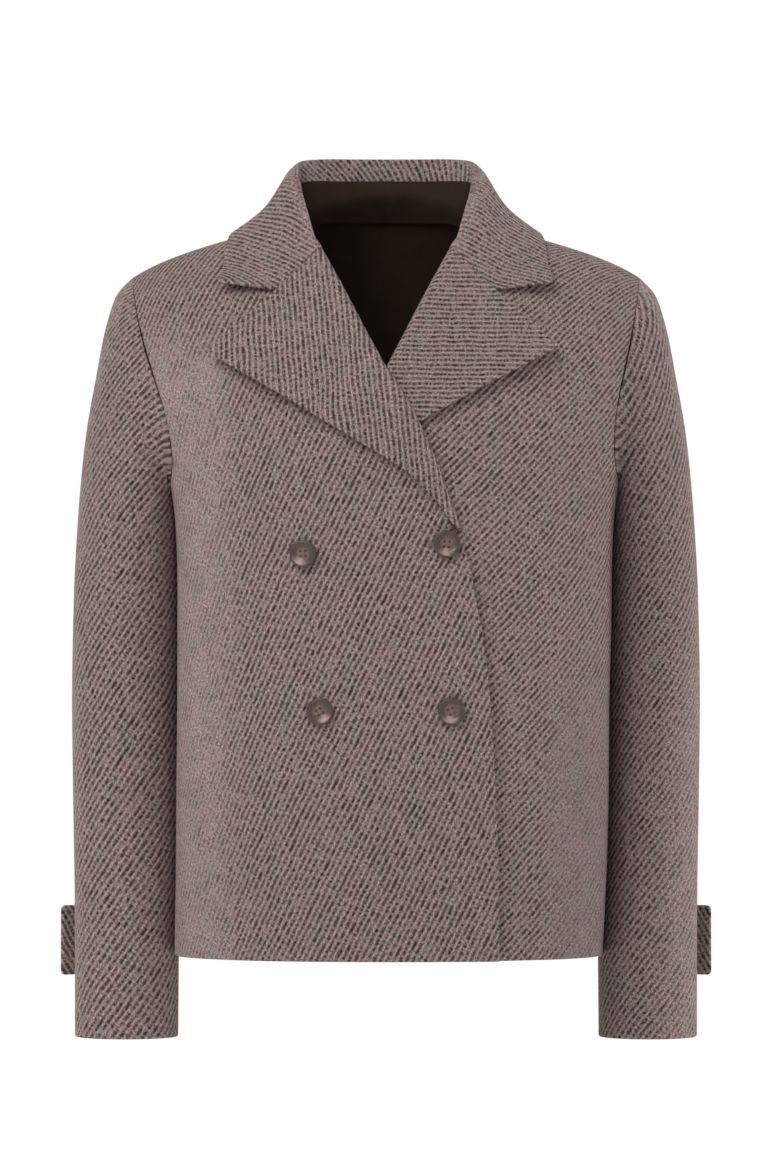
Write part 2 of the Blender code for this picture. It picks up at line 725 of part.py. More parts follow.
def material(finish):
    """Principled material of a finish, made once."""
    name, colour, roughness = finish
    made = bpy.data.materials.get(name)
    if made is None:
        made = bpy.data.materials.new(name)
        made.use_nodes = True
        shader = made.node_tree.nodes["Principled BSDF"]
        shader.inputs["Base Color"].default_value = (*colour, 1.0)
        shader.inputs["Roughness"].default_value = roughness
        shader.inputs["Metallic"].default_value = 0.0
    return made


def keep(name, mesh, finish, collection):
    """Object for a mesh, smooth shaded, with its material."""
    mesh.materials.append(material(finish))
    mesh.shade_smooth()
    mesh.set_sharp_from_angle(angle=SHARP_ANGLE)
    made = bpy.data.objects.new(name, mesh)
    collection.objects.link(made)
    return made


def cloth(name, cells, surface, thickness, finish, collection, tube=False):
    """Cloth wall: a grid laid on surface(u, v), extruded inwards along the surface's normals."""
    shell = bmesh.new()
    bmesh.ops.create_grid(shell, x_segments=cells[0], y_segments=cells[1], size=0.5)
    if tube:
        for vert in shell.verts:
            angle = (vert.co.x + 0.5) * 2 * math.pi
            vert.co = Vector((math.cos(angle), math.sin(angle), vert.co.y))
        bmesh.ops.remove_doubles(shell, verts=shell.verts[:], dist=WELD)
    first = set(shell.verts)
    bmesh.ops.extrude_face_region(shell, geom=shell.faces[:], use_keep_orig=True)
    places = np.array([vert.co for vert in shell.verts])
    if tube:
        u = np.mod(np.arctan2(places[:, 1], places[:, 0]) / (2 * math.pi), 1.0)
        v = places[:, 2] + 0.5
    else:
        u = places[:, 0] + 0.5
        v = places[:, 1] + 0.5
    outer, normal = surface(u, v)
    inner = outer - normal * thickness
    for index, vert in enumerate(shell.verts):
        vert.co = outer[index] if vert in first else inner[index]
    bmesh.ops.recalc_face_normals(shell, faces=shell.faces[:])
    mesh = bpy.data.meshes.new(name)
    shell.to_mesh(mesh)
    shell.free()
    return keep(name, mesh, finish, collection)


def thread_holes():
    """Four small round bars that cut a button's thread holes."""
    bars = bmesh.new()
    for x in (-HOLE_SPACING, HOLE_SPACING):
        for y in (-HOLE_SPACING, HOLE_SPACING):
            bar = bmesh.ops.create_cone(bars, cap_ends=True, segments=HOLE_SIDES, radius1=HOLE_RADIUS,
                                        radius2=HOLE_RADIUS, depth=HOLE_BAR)
            bmesh.ops.translate(bars, verts=bar["verts"], vec=Vector((x, y, 0.0)))
    mesh = bpy.data.meshes.new("button_holes")
    bars.to_mesh(mesh)
    bars.free()
    return mesh


def button(number, x, z, collection, cutters):
    """Button: a turned profile with four holes, standing off the right front along its normal."""
    point, normal = front_at(RIGHT, np.array([x]), np.array([z]))
    profile = bpy.data.meshes.new(f"button_{number}")
    count = len(BUTTON_PROFILE["radius"])
    points = [(r, 0.0, h) for r, h in zip(BUTTON_PROFILE["radius"], BUTTON_PROFILE["height"])]
    profile.from_pydata(points, [(step, step + 1) for step in range(count - 1)], [])
    made = keep(f"button_{number}", profile, HORN, collection)
    place = Vector(point[0] + normal[0] * BUTTON_STAND)
    turn = Vector(normal[0]).to_track_quat("Z", "Y").to_euler()
    made.location = place
    made.rotation_euler = turn
    turned = made.modifiers.new("turned", "SCREW")
    turned.steps = BUTTON_STEPS
    turned.render_steps = BUTTON_STEPS
    turned.use_merge_vertices = True
    turned.merge_threshold = WELD
    cutter = bpy.data.objects.new(f"button_holes_{number}", thread_holes())
    cutter.location = place
    cutter.rotation_euler = turn
    cutter.hide_render = True
    cutter.display_type = "WIRE"
    cutters.objects.link(cutter)
    cut = made.modifiers.new("holes", "BOOLEAN")
    cut.object = cutter
    cut.operation = "DIFFERENCE"


def main():
    """Clear the scene and build the jacket."""
    for old in list(bpy.data.objects):
        bpy.data.objects.remove(old, do_unlink=True)
    jacket = bpy.data.collections.new("jacket")
    cutters = bpy.data.collections.new("jacket_cutters")
    bpy.context.scene.collection.children.link(jacket)
    bpy.context.scene.collection.children.link(cutters)

    cloth("back", BACK_CELLS, back, WALL, TWILL, jacket)
    cloth("collar", COLLAR_CELLS, collar, DOUBLE, TWILL, jacket)
    lining_cells = (LINING_COLUMNS[1] - LINING_COLUMNS[0], LINING_ROWS[1] - LINING_ROWS[0])
    cloth("lining_back", lining_cells, lining_back, LINING_WALL, LINING, jacket)
    cloth("neck_facing", FACING_CELLS, neck_facing, LINING_WALL, LINING, jacket)
    for name, hand in (("right", RIGHT), ("left", LEFT)):
        cloth(f"front_{name}", FRONT_CELLS, front(hand), WALL, TWILL, jacket)
        cloth(f"lapel_{name}", LAPEL_CELLS[hand], lapel(hand), DOUBLE, TWILL, jacket)
        cloth(f"sleeve_{name}", SLEEVE_CELLS, sleeve(hand), WALL, TWILL, jacket, tube=True)
        cloth(f"cuff_strap_{name}", STRAP_CELLS, cuff_strap(hand), STRAP_WALL, TWILL, jacket)
    for index, (x, z) in enumerate(zip(BUTTON_PLACES["x"], BUTTON_PLACES["z"])):
        button(index + 1, x, z, jacket, cutters)


main()
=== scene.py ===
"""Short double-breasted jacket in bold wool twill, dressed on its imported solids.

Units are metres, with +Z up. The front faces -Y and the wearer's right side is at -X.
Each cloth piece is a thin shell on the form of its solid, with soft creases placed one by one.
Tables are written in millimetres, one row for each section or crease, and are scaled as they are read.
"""
import math
from functools import partial

import bmesh
import bpy
import numpy as np
from bpy.props import FloatProperty, FloatVectorProperty, PointerProperty
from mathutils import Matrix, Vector


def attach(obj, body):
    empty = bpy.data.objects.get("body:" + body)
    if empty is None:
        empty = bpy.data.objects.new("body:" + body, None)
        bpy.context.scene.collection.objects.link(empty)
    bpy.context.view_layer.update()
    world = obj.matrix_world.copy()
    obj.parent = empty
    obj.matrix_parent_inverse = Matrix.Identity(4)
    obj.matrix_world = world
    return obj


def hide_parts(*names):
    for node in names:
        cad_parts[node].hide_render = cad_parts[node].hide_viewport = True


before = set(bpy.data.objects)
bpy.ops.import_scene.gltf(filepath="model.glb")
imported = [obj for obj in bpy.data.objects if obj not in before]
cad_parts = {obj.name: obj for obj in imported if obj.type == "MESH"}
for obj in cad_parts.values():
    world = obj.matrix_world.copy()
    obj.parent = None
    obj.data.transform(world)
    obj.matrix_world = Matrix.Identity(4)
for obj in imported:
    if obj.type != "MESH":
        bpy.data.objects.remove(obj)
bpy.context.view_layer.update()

bl_info = {
    "name": "Wool twill jacket",
    "version": (1, 0, 0),
    "blender": (4, 5, 0),
    "location": "View3D > Sidebar > Jacket",
    "description": "Builds a short double-breasted jacket in bold wool twill",
    "category": "Add Mesh",
}

MM = 0.001
QUARTER = math.pi / 2
TURN = 2 * math.pi
RIGHT = -1
LEFT = 1
FRONT = -1
BACK = 1
SIDE_NAME = {RIGHT: "right", LEFT: "left"}
DEPTH_NAME = {FRONT: "front", BACK: "back"}
UP = np.array((0.0, 0.0, 1.0))
ACROSS_SHANK = np.array((0.0, 1.0, 0.0))


def table(columns, *rows):
    """Columns of a small table, by name, turned from millimetres to metres."""
    values = np.array(rows, float) * MM
    return dict(zip(columns.split(), values.T))


def linear(code):
    """Linear red, green and blue of an sRGB hex code."""
    part = np.array([int(code[at:at + 2], 16) for at in (0, 2, 4)]) / 255
    return tuple(np.where(part <= 0.04045, part / 12.92, ((part + 0.055) / 1.055) ** 2.4).tolist())


def from_to(low, high, start, end):
    """Inputs of a range node, by number: the range that comes in, and the one that goes out."""
    return {1: low, 2: high, 3: start, 4: end}


# Cloth thicknesses, edges and the air between layers
WALL = 2.5 * MM
DOUBLE = 3.0 * MM
STRAP_WALL = 4.0 * MM
LINING_WALL = 1.0 * MM
EDGE_ROUND = 1.4 * MM
EDGE_BLUNT = 0.15
RIM_STEPS = np.array((0.0, 0.06, 0.22, 0.5, 1.0))
SEAM_GAP = 0.05 * MM
LAYER_GAP = 0.8 * MM
# Step in a surface's parameters over which its normal is taken
SMALL_STEP = 0.004

# Heights of the body
HEM = -599 * MM
CHEST = -215 * MM
TIP = -48 * MM
SIDE_Y = -8 * MM
RIDGE_Y = 4 * MM

# The body's horizontal sections, from the hem up to the shoulder tip
TORSO = table(
    "height half_width shift front back",
    (-604, 174.0, 2.0, 118, 107),
    (-500, 176.0, 5.0, 118, 105),
    (-400, 176.0, 6.0, 119, 105),
    (-300, 177.0, 7.0, 122, 107),
    (-250, 178.5, 7.0, 121, 109),
    (-215, 183.0, 7.0, 120, 110),
    (-180, 195.0, 5.0, 120, 110),
    (-150, 205.5, 3.0, 120, 110),
    (-110, 217.0, 1.0, 120, 110),
    (-75, 224.0, 0.0, 120, 110),
    (-48, 228.0, 0.0, 120, 110),
)
SQUARENESS = {FRONT: 2.25, BACK: 2.10}
ROUNDING = {FRONT: 1.25, BACK: 1.0}

# The shoulder line, from the neck point outwards
NECK_X = 82 * MM
NECK_Z = -3 * MM
SHOULDER_SLOPE = 0.28
SHOULDER_REACH = 123 * MM
TIP_DROP = 8.3 * MM
TIP_CURVE = 5
NAPE_RISE = 40 * MM
NAPE_FLATNESS = 1.2
NAPE_LEVEL = 1.655
NECKLINE_CURVE = 2.2

# The armhole seam: share of the half width, and how fast it leaves the underarm
ARMHOLE_SHARE = 0.908
ARMHOLE_RISE = 0.32
ARMHOLE_CURVE = 3
# Rows crowd just above the underarm, and a panel stops just short of the side and of the shoulder line
ROW_CROWDING = 1.5
SIDE_STOP = 0.0016
RIDGE_STOP = {FRONT: 1.992, BACK: 1.997}
# How the back's columns are spread: 1 is even, and less is closer in the middle
BACK_MIDDLE = 0.7
# Rounds that find the level of a point from its height
LOCATE_ROUNDS = 4

# The edge of a front as seen: front edge, then the roll line of its lapel (right side)
BREAK = -261 * MM
FRONT_EDGE = table(
    "height x",
    (-604, 89.0),
    (-555, 89.0),
    (-473, 86.5),
    (-408, 83.0),
    (-343, 76.5),
    (-302, 69.5),
    (-274, 64.6),
    (-261, 62.0),
    (-220, 48.0),
    (-163, 23.5),
    (-126, 1.6),
    (-57, -34.5),
    (-17, -56.0),
)
# The fold along the roll line: its radius, how far a front's edge is set back for it, and where it starts
FOLD = 5.2 * MM
FOLD_SET = 5.9 * MM
FOLD_SET_RUN = 12 * MM
GORGE_SET = 4.0 * MM
FOLD_START = math.radians(-20)
FOLD_SHARE = 0.4

# How far the right front stands off to pass over the left front and its lapel
LAP_START = -152 * MM
LAP_FULL = -98 * MM
LAP_LIFT = WALL + LAYER_GAP
LAP_TOP = -112 * MM
LAP_TOP_FADE = 40 * MM
UNDER_LAPEL_LIFT = 5.4 * MM
UNDER_LAPEL_END = -192 * MM
UNDER_LAPEL_EASE = 36 * MM
FREE_EDGE_LIFT = 4.4 * MM
FREE_EDGE_RUN = 45 * MM

# The lapels, both as on the right side: heights along the roll line and the outer edge, from the gorge down
LAPEL = {
    RIGHT: table(
        "roll_z edge_x edge_z",
        (-25.5, -138.4, -113.4),
        (-58.0, -109.6, -131.3),
        (-102.0, -67.8, -156.2),
        (-148.0, -21.6, -184.6),
        (-197.0, 20.0, -209.5),
        (-232.0, 39.5, -231.0),
        (-254.0, 52.0, -249.0),
    ),
    LEFT: table(
        "roll_z edge_x edge_z",
        (-25.5, -135.4, -109.8),
        (-58.0, -106.2, -125.3),
        (-102.0, -63.0, -147.7),
        (-148.0, -16.2, -175.0),
        (-197.0, 22.0, -204.0),
        (-232.0, 40.5, -229.0),
        (-254.0, 52.0, -249.0),
    ),
}
# How far a lapel's edge stands off, to which share of its length, and the air under it
LAPEL_EDGE_LIFT = 8.5 * MM
LAPEL_LIFT_END = {RIGHT: 0.95, LEFT: 0.68}
LAPEL_AIR = {RIGHT: 1.2 * MM, LEFT: 0.0}
LAPEL_AIR_RUN = 0.3
# The left lapel stops where the right front hides it
LAPEL_SHOWN = {RIGHT: 1.0, LEFT: 0.53}

# The collar's half, from the middle of the back to its front end
COLLAR_STATION = np.array((0.0, 0.125, 0.25, 0.375, 0.5, 0.7, 0.85, 1.0))
COLLAR = table(
    "neck_x neck_y neck_z roll_x roll_y roll_z edge_x",
    (0, 57, 22, 0, 62, 53, 0),
    (18.5, 55.3, 20.6, 21, 61.2, 53, 31),
    (36, 50, 16.5, 43, 58.5, 53, 62),
    (54, 38, 11, 62, 50, 52, 88),
    (69, 22, 5, 72, 35, 48.5, 112),
    (78, -2, 1, 71.5, 2, 37, 125),
    (71, -26, -5, 64.5, -28, 9, 130),
    (60, -41, -16, 56, -47, -17, 131),
)
# Level of the collar's edge over the shoulder at each station, then its end, its rest and its fold
COLLAR_EDGE_OVER = np.array((2.495, 2.456, 2.331, 2.238, 2.171, 2.0, 1.75, 1.574))
COLLAR_END_START = 0.88
COLLAR_END_FULL = 0.985
COLLAR_RUN = 160 * MM
COLLAR_REST = 4.6 * MM
COLLAR_SAG = 4.0 * MM
COLLAR_FOLD_DROP = 8 * MM
COLLAR_FOLD_IN = 3.0 * MM
COLLAR_FOLD_OUT = 6.5 * MM
SHOULDER_LEVEL = 1.999
# The collar's front end runs beside the lapel's top edge, round the same fold, to the notch
GORGE_GAP = 0.4 * MM
ROLL_LEAN = 0.42
NOTCH_OUT = 50.5 * MM
CORNER_Z = -61 * MM
COLLAR_CORNER_LIFT = 9.5 * MM
SECTION_KNOTS = np.array((0.0, 0.22, 0.41, 0.60, 0.80, 1.0))

# A sleeve's rings, from the armhole to the cuff
SLEEVE = table(
    "outer_x outer_z inner_x inner_z middle_y half_depth",
    (207.0, -48, 182.5, -215, 0, 52),
    (219.5, -61, 181.5, -222, 4, 54),
    (229.0, -88, 179.5, -230, 10, 56),
    (237.5, -130, 177.0, -243, 16, 58),
    (246.0, -178, 175.5, -262, 22, 58),
    (252.0, -238, 174.0, -292, 27, 58),
    (256.0, -310, 173.0, -340, 30, 57),
    (257.5, -392, 172.5, -402, 32, 54),
    (256.5, -473, 172.0, -475, 30, 51),
    (255.0, -560, 171.5, -560, 25, 48),
    (254.5, -667, 172.0, -667, 18, 45),
)
SLEEVE_LAST = len(SLEEVE["outer_x"]) - 1
# Rows that are drawn on to the armhole, and how far a sleeve keeps off the side of the body
SLEEVE_BLEND_ROWS = 3.0
SLEEVE_CLEAR = 0.3 * MM
SLEEVE_CLEAR_ROWS = 0.7
SLEEVE_LEAVE_Z = -178 * MM
SLEEVE_LEAVE = 0.6
UNDERARM_GAP = 0.8 * MM
# Mean radius, for places round a sleeve, and width as seen
SLEEVE_ROUND = 50 * MM
SLEEVE_WIDTH = 84 * MM
# Painted shade towards the inner line, where the body shades the sleeve, by shares of the way round
SLEEVE_PAINTED_SHADE = {RIGHT: 0.02, LEFT: 0.28}
SLEEVE_SHADE_START = 0.06
SLEEVE_SHADE_RUN = 0.34
# Brushed strip along the outer line, its pale colour also a painted highlight: its reach as a turn, which
# grows low on the left sleeve
SLEEVE_NAP_AND_HIGHLIGHT = 0.85
SLEEVE_STRIP_REACH = 0.55
SLEEVE_STRIP_FULL = 0.45
SLEEVE_STRIP_FURTHER = 0.75
SLEEVE_STRIP_START = 0.55
SLEEVE_STRIP_RUN = 0.25

# The cuff strap: a double band on the back of the sleeve with a free end
STRAP_TOP = -561 * MM
STRAP_BOTTOM = -618 * MM
STRAP_FREE_X = 266.5 * MM
STRAP_ROOT_TURN = math.radians(115)
STRAP_LEAVE_TURN = math.radians(64)
STRAP_CORNER = 3.5 * MM
STRAP_SEWN = 0.5

# The dark lining inside the upper back, and the facing above it
LINING_GAP = 1.6 * MM
LINING_ACROSS = (0.10, 0.90)
LINING_UP = (13 / 24, 23.6 / 24)
# The facing's foot on the back, its ends and top on the collar's stand, and how far it keeps off them
FACING_FOOT_Z = 3.0 * MM
FACING_FOOT_SHARE = 0.97
FACING_STATION = 0.62
FACING_TOP = 0.11
FACING_TOP_RISE = 0.06
FACING_CLEAR = np.array((5.4, 7.0, 2.6)) * MM
FACING_KNOTS = np.array((0.0, 0.5, 1.0))

# Buttons: their middles on the right front, their turned profile and how each is turned
BUTTON_PLACES = table(
    "x z",
    (-64.5, -273.0),
    (48.0, -265.5),
    (-51.5, -399.0),
    (52.0, -398.5),
)
BUTTON_TURNED = np.radians((4, -5, 33, 28))
# The pale streak on each button's top: its way on each button, its spread, and the radii where it grows and
# fades
BUTTON_STREAK = np.radians((-118, -100, -52, -102))
STREAK_SPREAD = math.radians(32)
STREAK_START = 1.8 * MM
STREAK_GROW = 3.0 * MM
STREAK_END = 8.6 * MM
STREAK_FADE = 1.6 * MM
STREAK_MIDDLE = 0.42
BUTTON_PROFILE = table(
    "radius height",
    (0.0, 2.6),
    (3.0, 2.6),
    (5.6, 2.75),
    (7.8, 3.85),
    (9.0, 4.1),
    (10.2, 3.9),
    (11.0, 2.9),
    (10.7, 1.5),
    (8.6, 0.2),
    (0.0, 0.0),
)
# How far a button stands off, its thread holes, thread and shank, and the cord of a buttonhole
BUTTON_STAND = 1.8 * MM
HOLE_RADIUS = 0.95 * MM
HOLE_FAR = 1.95 * math.sqrt(2) * MM
HOLES = 4
HOLE_DEPTH = 1.5 * MM
HOLE_EDGE = 0.35
THREAD_RADIUS = 0.32 * MM
THREAD_RISE = 0.45 * MM
THREAD_CROSS = 0.5
THREAD_SINK = 0.9
THREAD_BEND = 6
SHANK_RADIUS = 1.7 * MM
SHANK_TOP = 0.3 * MM
BUTTONHOLE_HALF = 12.0 * MM
BUTTONHOLE_CORD = 0.75 * MM
BUTTONHOLE_GAP = 0.9 * MM
BUTTONHOLE_SHIFT = -3.0 * MM
BUTTONHOLE_RISE = 0.2 * MM
BUTTONHOLE_ROUND = 0.5
WELD = 0.001 * MM

# Soft creases: where each starts and ends as seen from its side, width and depth (a ridge is below zero)
FRONT_CREASES = table(
    "x0 z0 x1 z1 width depth",
    (-158, -232, -132, -432, 15, 1.5),
    (-134, -330, -121, -580, 19, 1.1),
    (-155, -320, -149, -598, 13, -1.0),
    (-170, -222, -96, -262, 9, 0.8),
    (-152, -205, -104, -232, 8, 0.6),
    (168, -234, 143, -418, 15, 1.4),
    (147, -372, 136, -598, 19, 1.1),
    (172, -224, 112, -262, 9, 0.9),
    (150, -206, 106, -236, 8, 0.6),
    (-62, -498, -70, -612, 22, 0.8),
    (118, -488, 124, -612, 20, -0.8),
    (24, -462, 9, -612, 26, 0.7),
    (-30, -292, -10, -352, 16, 0.5),
    (40, -290, 8, -345, 15, 0.6),
    (-126, -150, -98, -206, 14, 0.7),
    (128, -146, 100, -206, 14, 0.7),
    (-204, -62, -175, -224, 9, 1.4),
    (205, -62, 188, -224, 10, 1.8),
    (108, -330, 110, -690, 16, 2.2),
)
BACK_CREASES = table(
    "x0 z0 x1 z1 width depth",
    (-150, -236, -121, -428, 16, 1.7),
    (153, -231, 119, -404, 17, 1.6),
    (-62, -424, -77, -612, 24, 1.3),
    (72, -446, 63, -612, 22, 1.2),
    (-158, -196, -97, -228, 10, 1.0),
    (156, -198, 102, -240, 11, 0.9),
    (2, -338, 8, -612, 28, 0.7),
    (-120, -452, -112, -612, 17, -1.1),
    (124, -470, 131, -612, 16, -1.0),
    (-112, -96, -64, -176, 15, 0.8),
    (116, -92, 70, -170, 15, 0.8),
)
# Creases of the right sleeve by the way round from its outer line and by height; the left
# mirrors them, a little lower and softer
SLEEVE_CREASES = table(
    "x0 z0 x1 z1 width depth",
    (34, -322, 96, -370, 10, 1.3),
    (26, -374, 92, -398, 11, 1.5),
    (44, -424, 102, -452, 10, 1.0),
    (14, -240, 70, -296, 13, 1.0),
    (52, -512, 96, -556, 12, 0.8),
    (10, -590, 62, -628, 14, -0.7),
    (-112, -338, -48, -370, 12, 1.5),
    (-108, -398, -38, -412, 12, 1.7),
    (-102, -462, -46, -440, 11, 1.1),
    (-96, -238, -48, -300, 14, 1.2),
    (30, -140, 74, -206, 15, 0.9),
    (-82, -134, -38, -198, 15, 1.0),
)
LEFT_SLEEVE_DROP = 17 * MM
LEFT_SLEEVE_DEPTH = 0.85
# Share of a crease over which each end fades, and the slow swell of the cloth between creases
CREASE_FADE = 0.38
UNEVEN = 0.3 * MM
UNEVEN_LENGTHS = np.array((41, 53, 29, 67)) * MM
UNEVEN_PHASES = (1.3, 0.7)

# Ribs of the twill: how steep they run on each flat piece, in degrees from its cross grain
RIB_FRONT = {RIGHT: 63, LEFT: 45}
RIB_BACK = 55
RIB_SLEEVE = 51
RIB_LAPEL = {RIGHT: -84, LEFT: -2}
RIB_COLLAR = 58
RIB_STRAP = 58
RIB_FACING = 40
# How far the making-up has spread the ribs of a piece
SLEEVE_SPREAD = {RIGHT: 1.13, LEFT: 1.04}
LAPEL_SPREAD = {RIGHT: 0.90, LEFT: 0.82}
# The collar's flat band: its bend to each side, and the rows that give the way of its fold at an end
COLLAR_BEND = math.radians(23)
COLLAR_END_ROWS = 24
# Brushed strip along the collar's fold beside the neck, its pale colour also a painted highlight on the fold
COLLAR_NAP_AND_HIGHLIGHT = 0.8
COLLAR_STRIP_START = 0.3
COLLAR_STRIP_RUN = 0.15
COLLAR_STRIP_WIDTH = 16 * MM
# Brushed sides of the fronts, the low left one also with painted shade: where each starts and how far it
# takes to full, across and then down
NAP_RIGHT_X = -106 * MM
NAP_RIGHT_RUN = 42 * MM
NAP_RIGHT_TOP = -70 * MM
NAP_RIGHT_FADE = 60 * MM
LOW_LEFT_X = 118 * MM
LOW_LEFT_RUN = 30 * MM
LOW_LEFT_TOP = -330 * MM
LOW_LEFT_FADE = 110 * MM
# Painted shade on the fronts: darker towards the hem, and more on the brushed low left side
HEM_SHADE = 0.06
HEM_SHADE_TOP = -360 * MM
HEM_SHADE_FADE = 180 * MM
LOW_LEFT_SHADE = 0.22
# A panel opened flat is longer by this much round the body and over the shoulder
ROUND_BODY = 59 * MM
OVER_SHOULDER = 60 * MM

# Grids, across and up
FRONT_CELLS = (104, 190)
BACK_CELLS = (150, 200)
SLEEVE_CELLS = (120, 200)
LAPEL_CELLS = {RIGHT: (64, 96), LEFT: (64, 60)}
COLLAR_CELLS = (190, 60)
STRAP_CELLS = (40, 30)
LINING_CELLS = (90, 60)
FACING_CELLS = (90, 24)
BUTTON_CELLS = (120, 72)
THREAD_CELLS = (10, 24)
CORD_CELLS = (10, 80)

# Rough size of each piece beside its first and last edge across, then up, to round the edges; 0 has no edge
FRONT_SPAN = (0.30, 0.30, 0.78, 0.56)
BACK_SPAN = (0.50, 0.50, 0.78, 0.56)
SLEEVE_SPAN = (0.0, 0.0, 0.35, 0.90)
LAPEL_SPAN = (0.03, 0.20, 0.24, 0.24)
COLLAR_SPAN = (0.40, 0.40, 0.10, 0.14)
STRAP_SPAN = (0.10, 0.06, 0.057, 0.057)
LINING_SPAN = (0.36, 0.36, 0.20, 0.20)
FACING_SPAN = (0.19, 0.19, 0.06, 0.06)
# Where cloth turns in at a front edge, hem or cuff, and the lining starts
FRONT_FACING = 0.24
FRONT_HEM = 0.05
BACK_HEM = 0.05
CUFF_HEM = 0.94

# The stage: places and sizes of the lights, the camera and the floor
KEY_PLACE = (-1.9, -3.0, 2.9)
KEY_SIZE = 2.8
FILL_PLACE = (3.8, 0.6, 0.1)
FILL_SIZE = 1.6
REAR_PLACE = (-0.6, 4.4, 1.8)
REAR_SIZE = 2.6
CAMERA_X = 2.9 * MM
CAMERA_Z = -297.8 * MM
FLOOR_HALF = 6.0
FLOOR_Z = -1.42
PAPER = (1.0, 1.0, 1.0, 1.0)
AMBIENT_TINT = (1.0, 0.99, 0.98, 1.0)

# Patterns of the materials: the size of one swell, and what its values are turned into
WANDER_SIZE = 18.18 * MM
WANDER_FAR = 2.4 * MM
# A row's own line through the uneven pattern of dashes, and how wide and strong they are
ROW_STEP = 2.63
ROW_START = 0.37
DASH_ROUGH = 0.6
DASH_HALF = from_to(0.3, 0.68, 0.20, 0.42)
DASH_EDGE = from_to(0.15, 1.15, 1.0, 0.0)
DASH_STRENGTH = from_to(0.37, 0.58, 0.05, 1.0)
# Raised fibre over the dashes, the nap and the fibres along the ribs
COVER_SIZE = 9.09 * MM
COVER = from_to(0.36, 0.66, 1.0, 0.7)
NAP_SIZE = 22.22 * MM
NAP_PATCHES = from_to(0.35, 0.6, 0.6, 1.0)
NAP_DASHES = from_to(0.0, 1.0, 1.0, 0.42)
FIBRE_ACROSS = 1.1 * MM
FIBRE_ALONG = 1.9 * MM
FIBRE_FLECK = from_to(0.25, 0.75, 0.32, 1.68)
FIBRE_BUMP = 0.7
BUMP_STRENGTH = 0.8
CROWN_EDGE = from_to(0.12, 0.46, 0.0, 1.0)
# Slow shift of tint, as factors of the colour
MELANGE_SIZE = 18.18 * MM
MELANGE = from_to(0.38, 0.62, 0.0, 1.0)
MELANGE_PINK = (1.03, 0.985, 1.005, 1.0)
MELANGE_GREEN = (0.925, 1.0, 0.975, 1.0)
# Shades of the lining, the horn's grain and the thread's twist
CLOUD_SIZE = 16.67 * MM
CLOUD = from_to(0.3, 0.7, 0.85, 1.1)
GRAIN_SIZE = 2.381 * MM
GRAIN = from_to(0.3, 0.7, 0.78, 1.16)
TWIST_SIZE = 0.625 * MM
TWIST = from_to(0.3, 0.7, 0.65, 1.1)


# Settings that a user may change

class TwillSettings(bpy.types.PropertyGroup):
    """Weave and colours of the wool twill."""
    rib_spacing: FloatProperty(
        name="Rib spacing", description="Distance between ribs",
        default=4.6 * MM, min=1 * MM, unit="LENGTH")
    dash_length: FloatProperty(
        name="Dash length", description="Usual length of a dark dash",
        default=2.9 * MM, min=1 * MM, unit="LENGTH")
    rib_height: FloatProperty(
        name="Rib height", description="How far the ribs stand up",
        default=0.45 * MM, min=0.0, unit="LENGTH")
    crown: FloatVectorProperty(
        name="Crown", description="Colour of the ribs' crowns", subtype="COLOR", default=linear("ac9894"))
    slope: FloatVectorProperty(
        name="Slope", description="Colour between crown and dash", subtype="COLOR", default=linear("937f7b"))
    dash: FloatVectorProperty(
        name="Dash", description="Colour of the dark dashes", subtype="COLOR", default=linear("3b2a28"))
    # The nap colour also serves as a painted highlight along the sleeves' outer lines and the collar's fold
    nap: FloatVectorProperty(
        name="Nap", description="Colour where the brushed nap hides the ribs",
        subtype="COLOR", default=linear("af9b98"))


class TrimSettings(bpy.types.PropertyGroup):
    """Colours of the lining, buttons and thread."""
    lining: FloatVectorProperty(
        name="Lining", description="Colour of the lining", subtype="COLOR", default=linear("32261c"))
    horn: FloatVectorProperty(
        name="Horn", description="Body colour of the buttons", subtype="COLOR", default=linear("544540"))
    pale_streak: FloatVectorProperty(
        name="Horn streak", description="Pale streak in the buttons",
        subtype="COLOR", default=linear("c2a197"))
    thread: FloatVectorProperty(
        name="Thread", description="Colour of the sewing thread", subtype="COLOR", default=linear("9a8a82"))


class StageSettings(bpy.types.PropertyGroup):
    """Light, floor and camera."""
    distance: FloatProperty(
        name="Distance", description="Camera to the jacket", default=6.0, min=2.0, unit="LENGTH")
    view_height: FloatProperty(
        name="View height", description="Height that fills the picture",
        default=0.9547, min=0.1, unit="LENGTH")
    key_power: FloatProperty(name="Key", description="Power of the main light", default=92.0, min=0.0)
    fill_power: FloatProperty(name="Fill", description="Power of the weak light", default=38.0, min=0.0)
    rear_power: FloatProperty(name="Rear", description="Power of the light behind", default=70.0, min=0.0)
    ambient: FloatProperty(
        name="Ambient", description="Strength of the surrounding light", default=0.42, min=0.0)
    floor: FloatVectorProperty(
        name="Floor", description="Colour of the floor", subtype="COLOR", default=linear("f4f2f0"))


# Small tools for curves and vectors

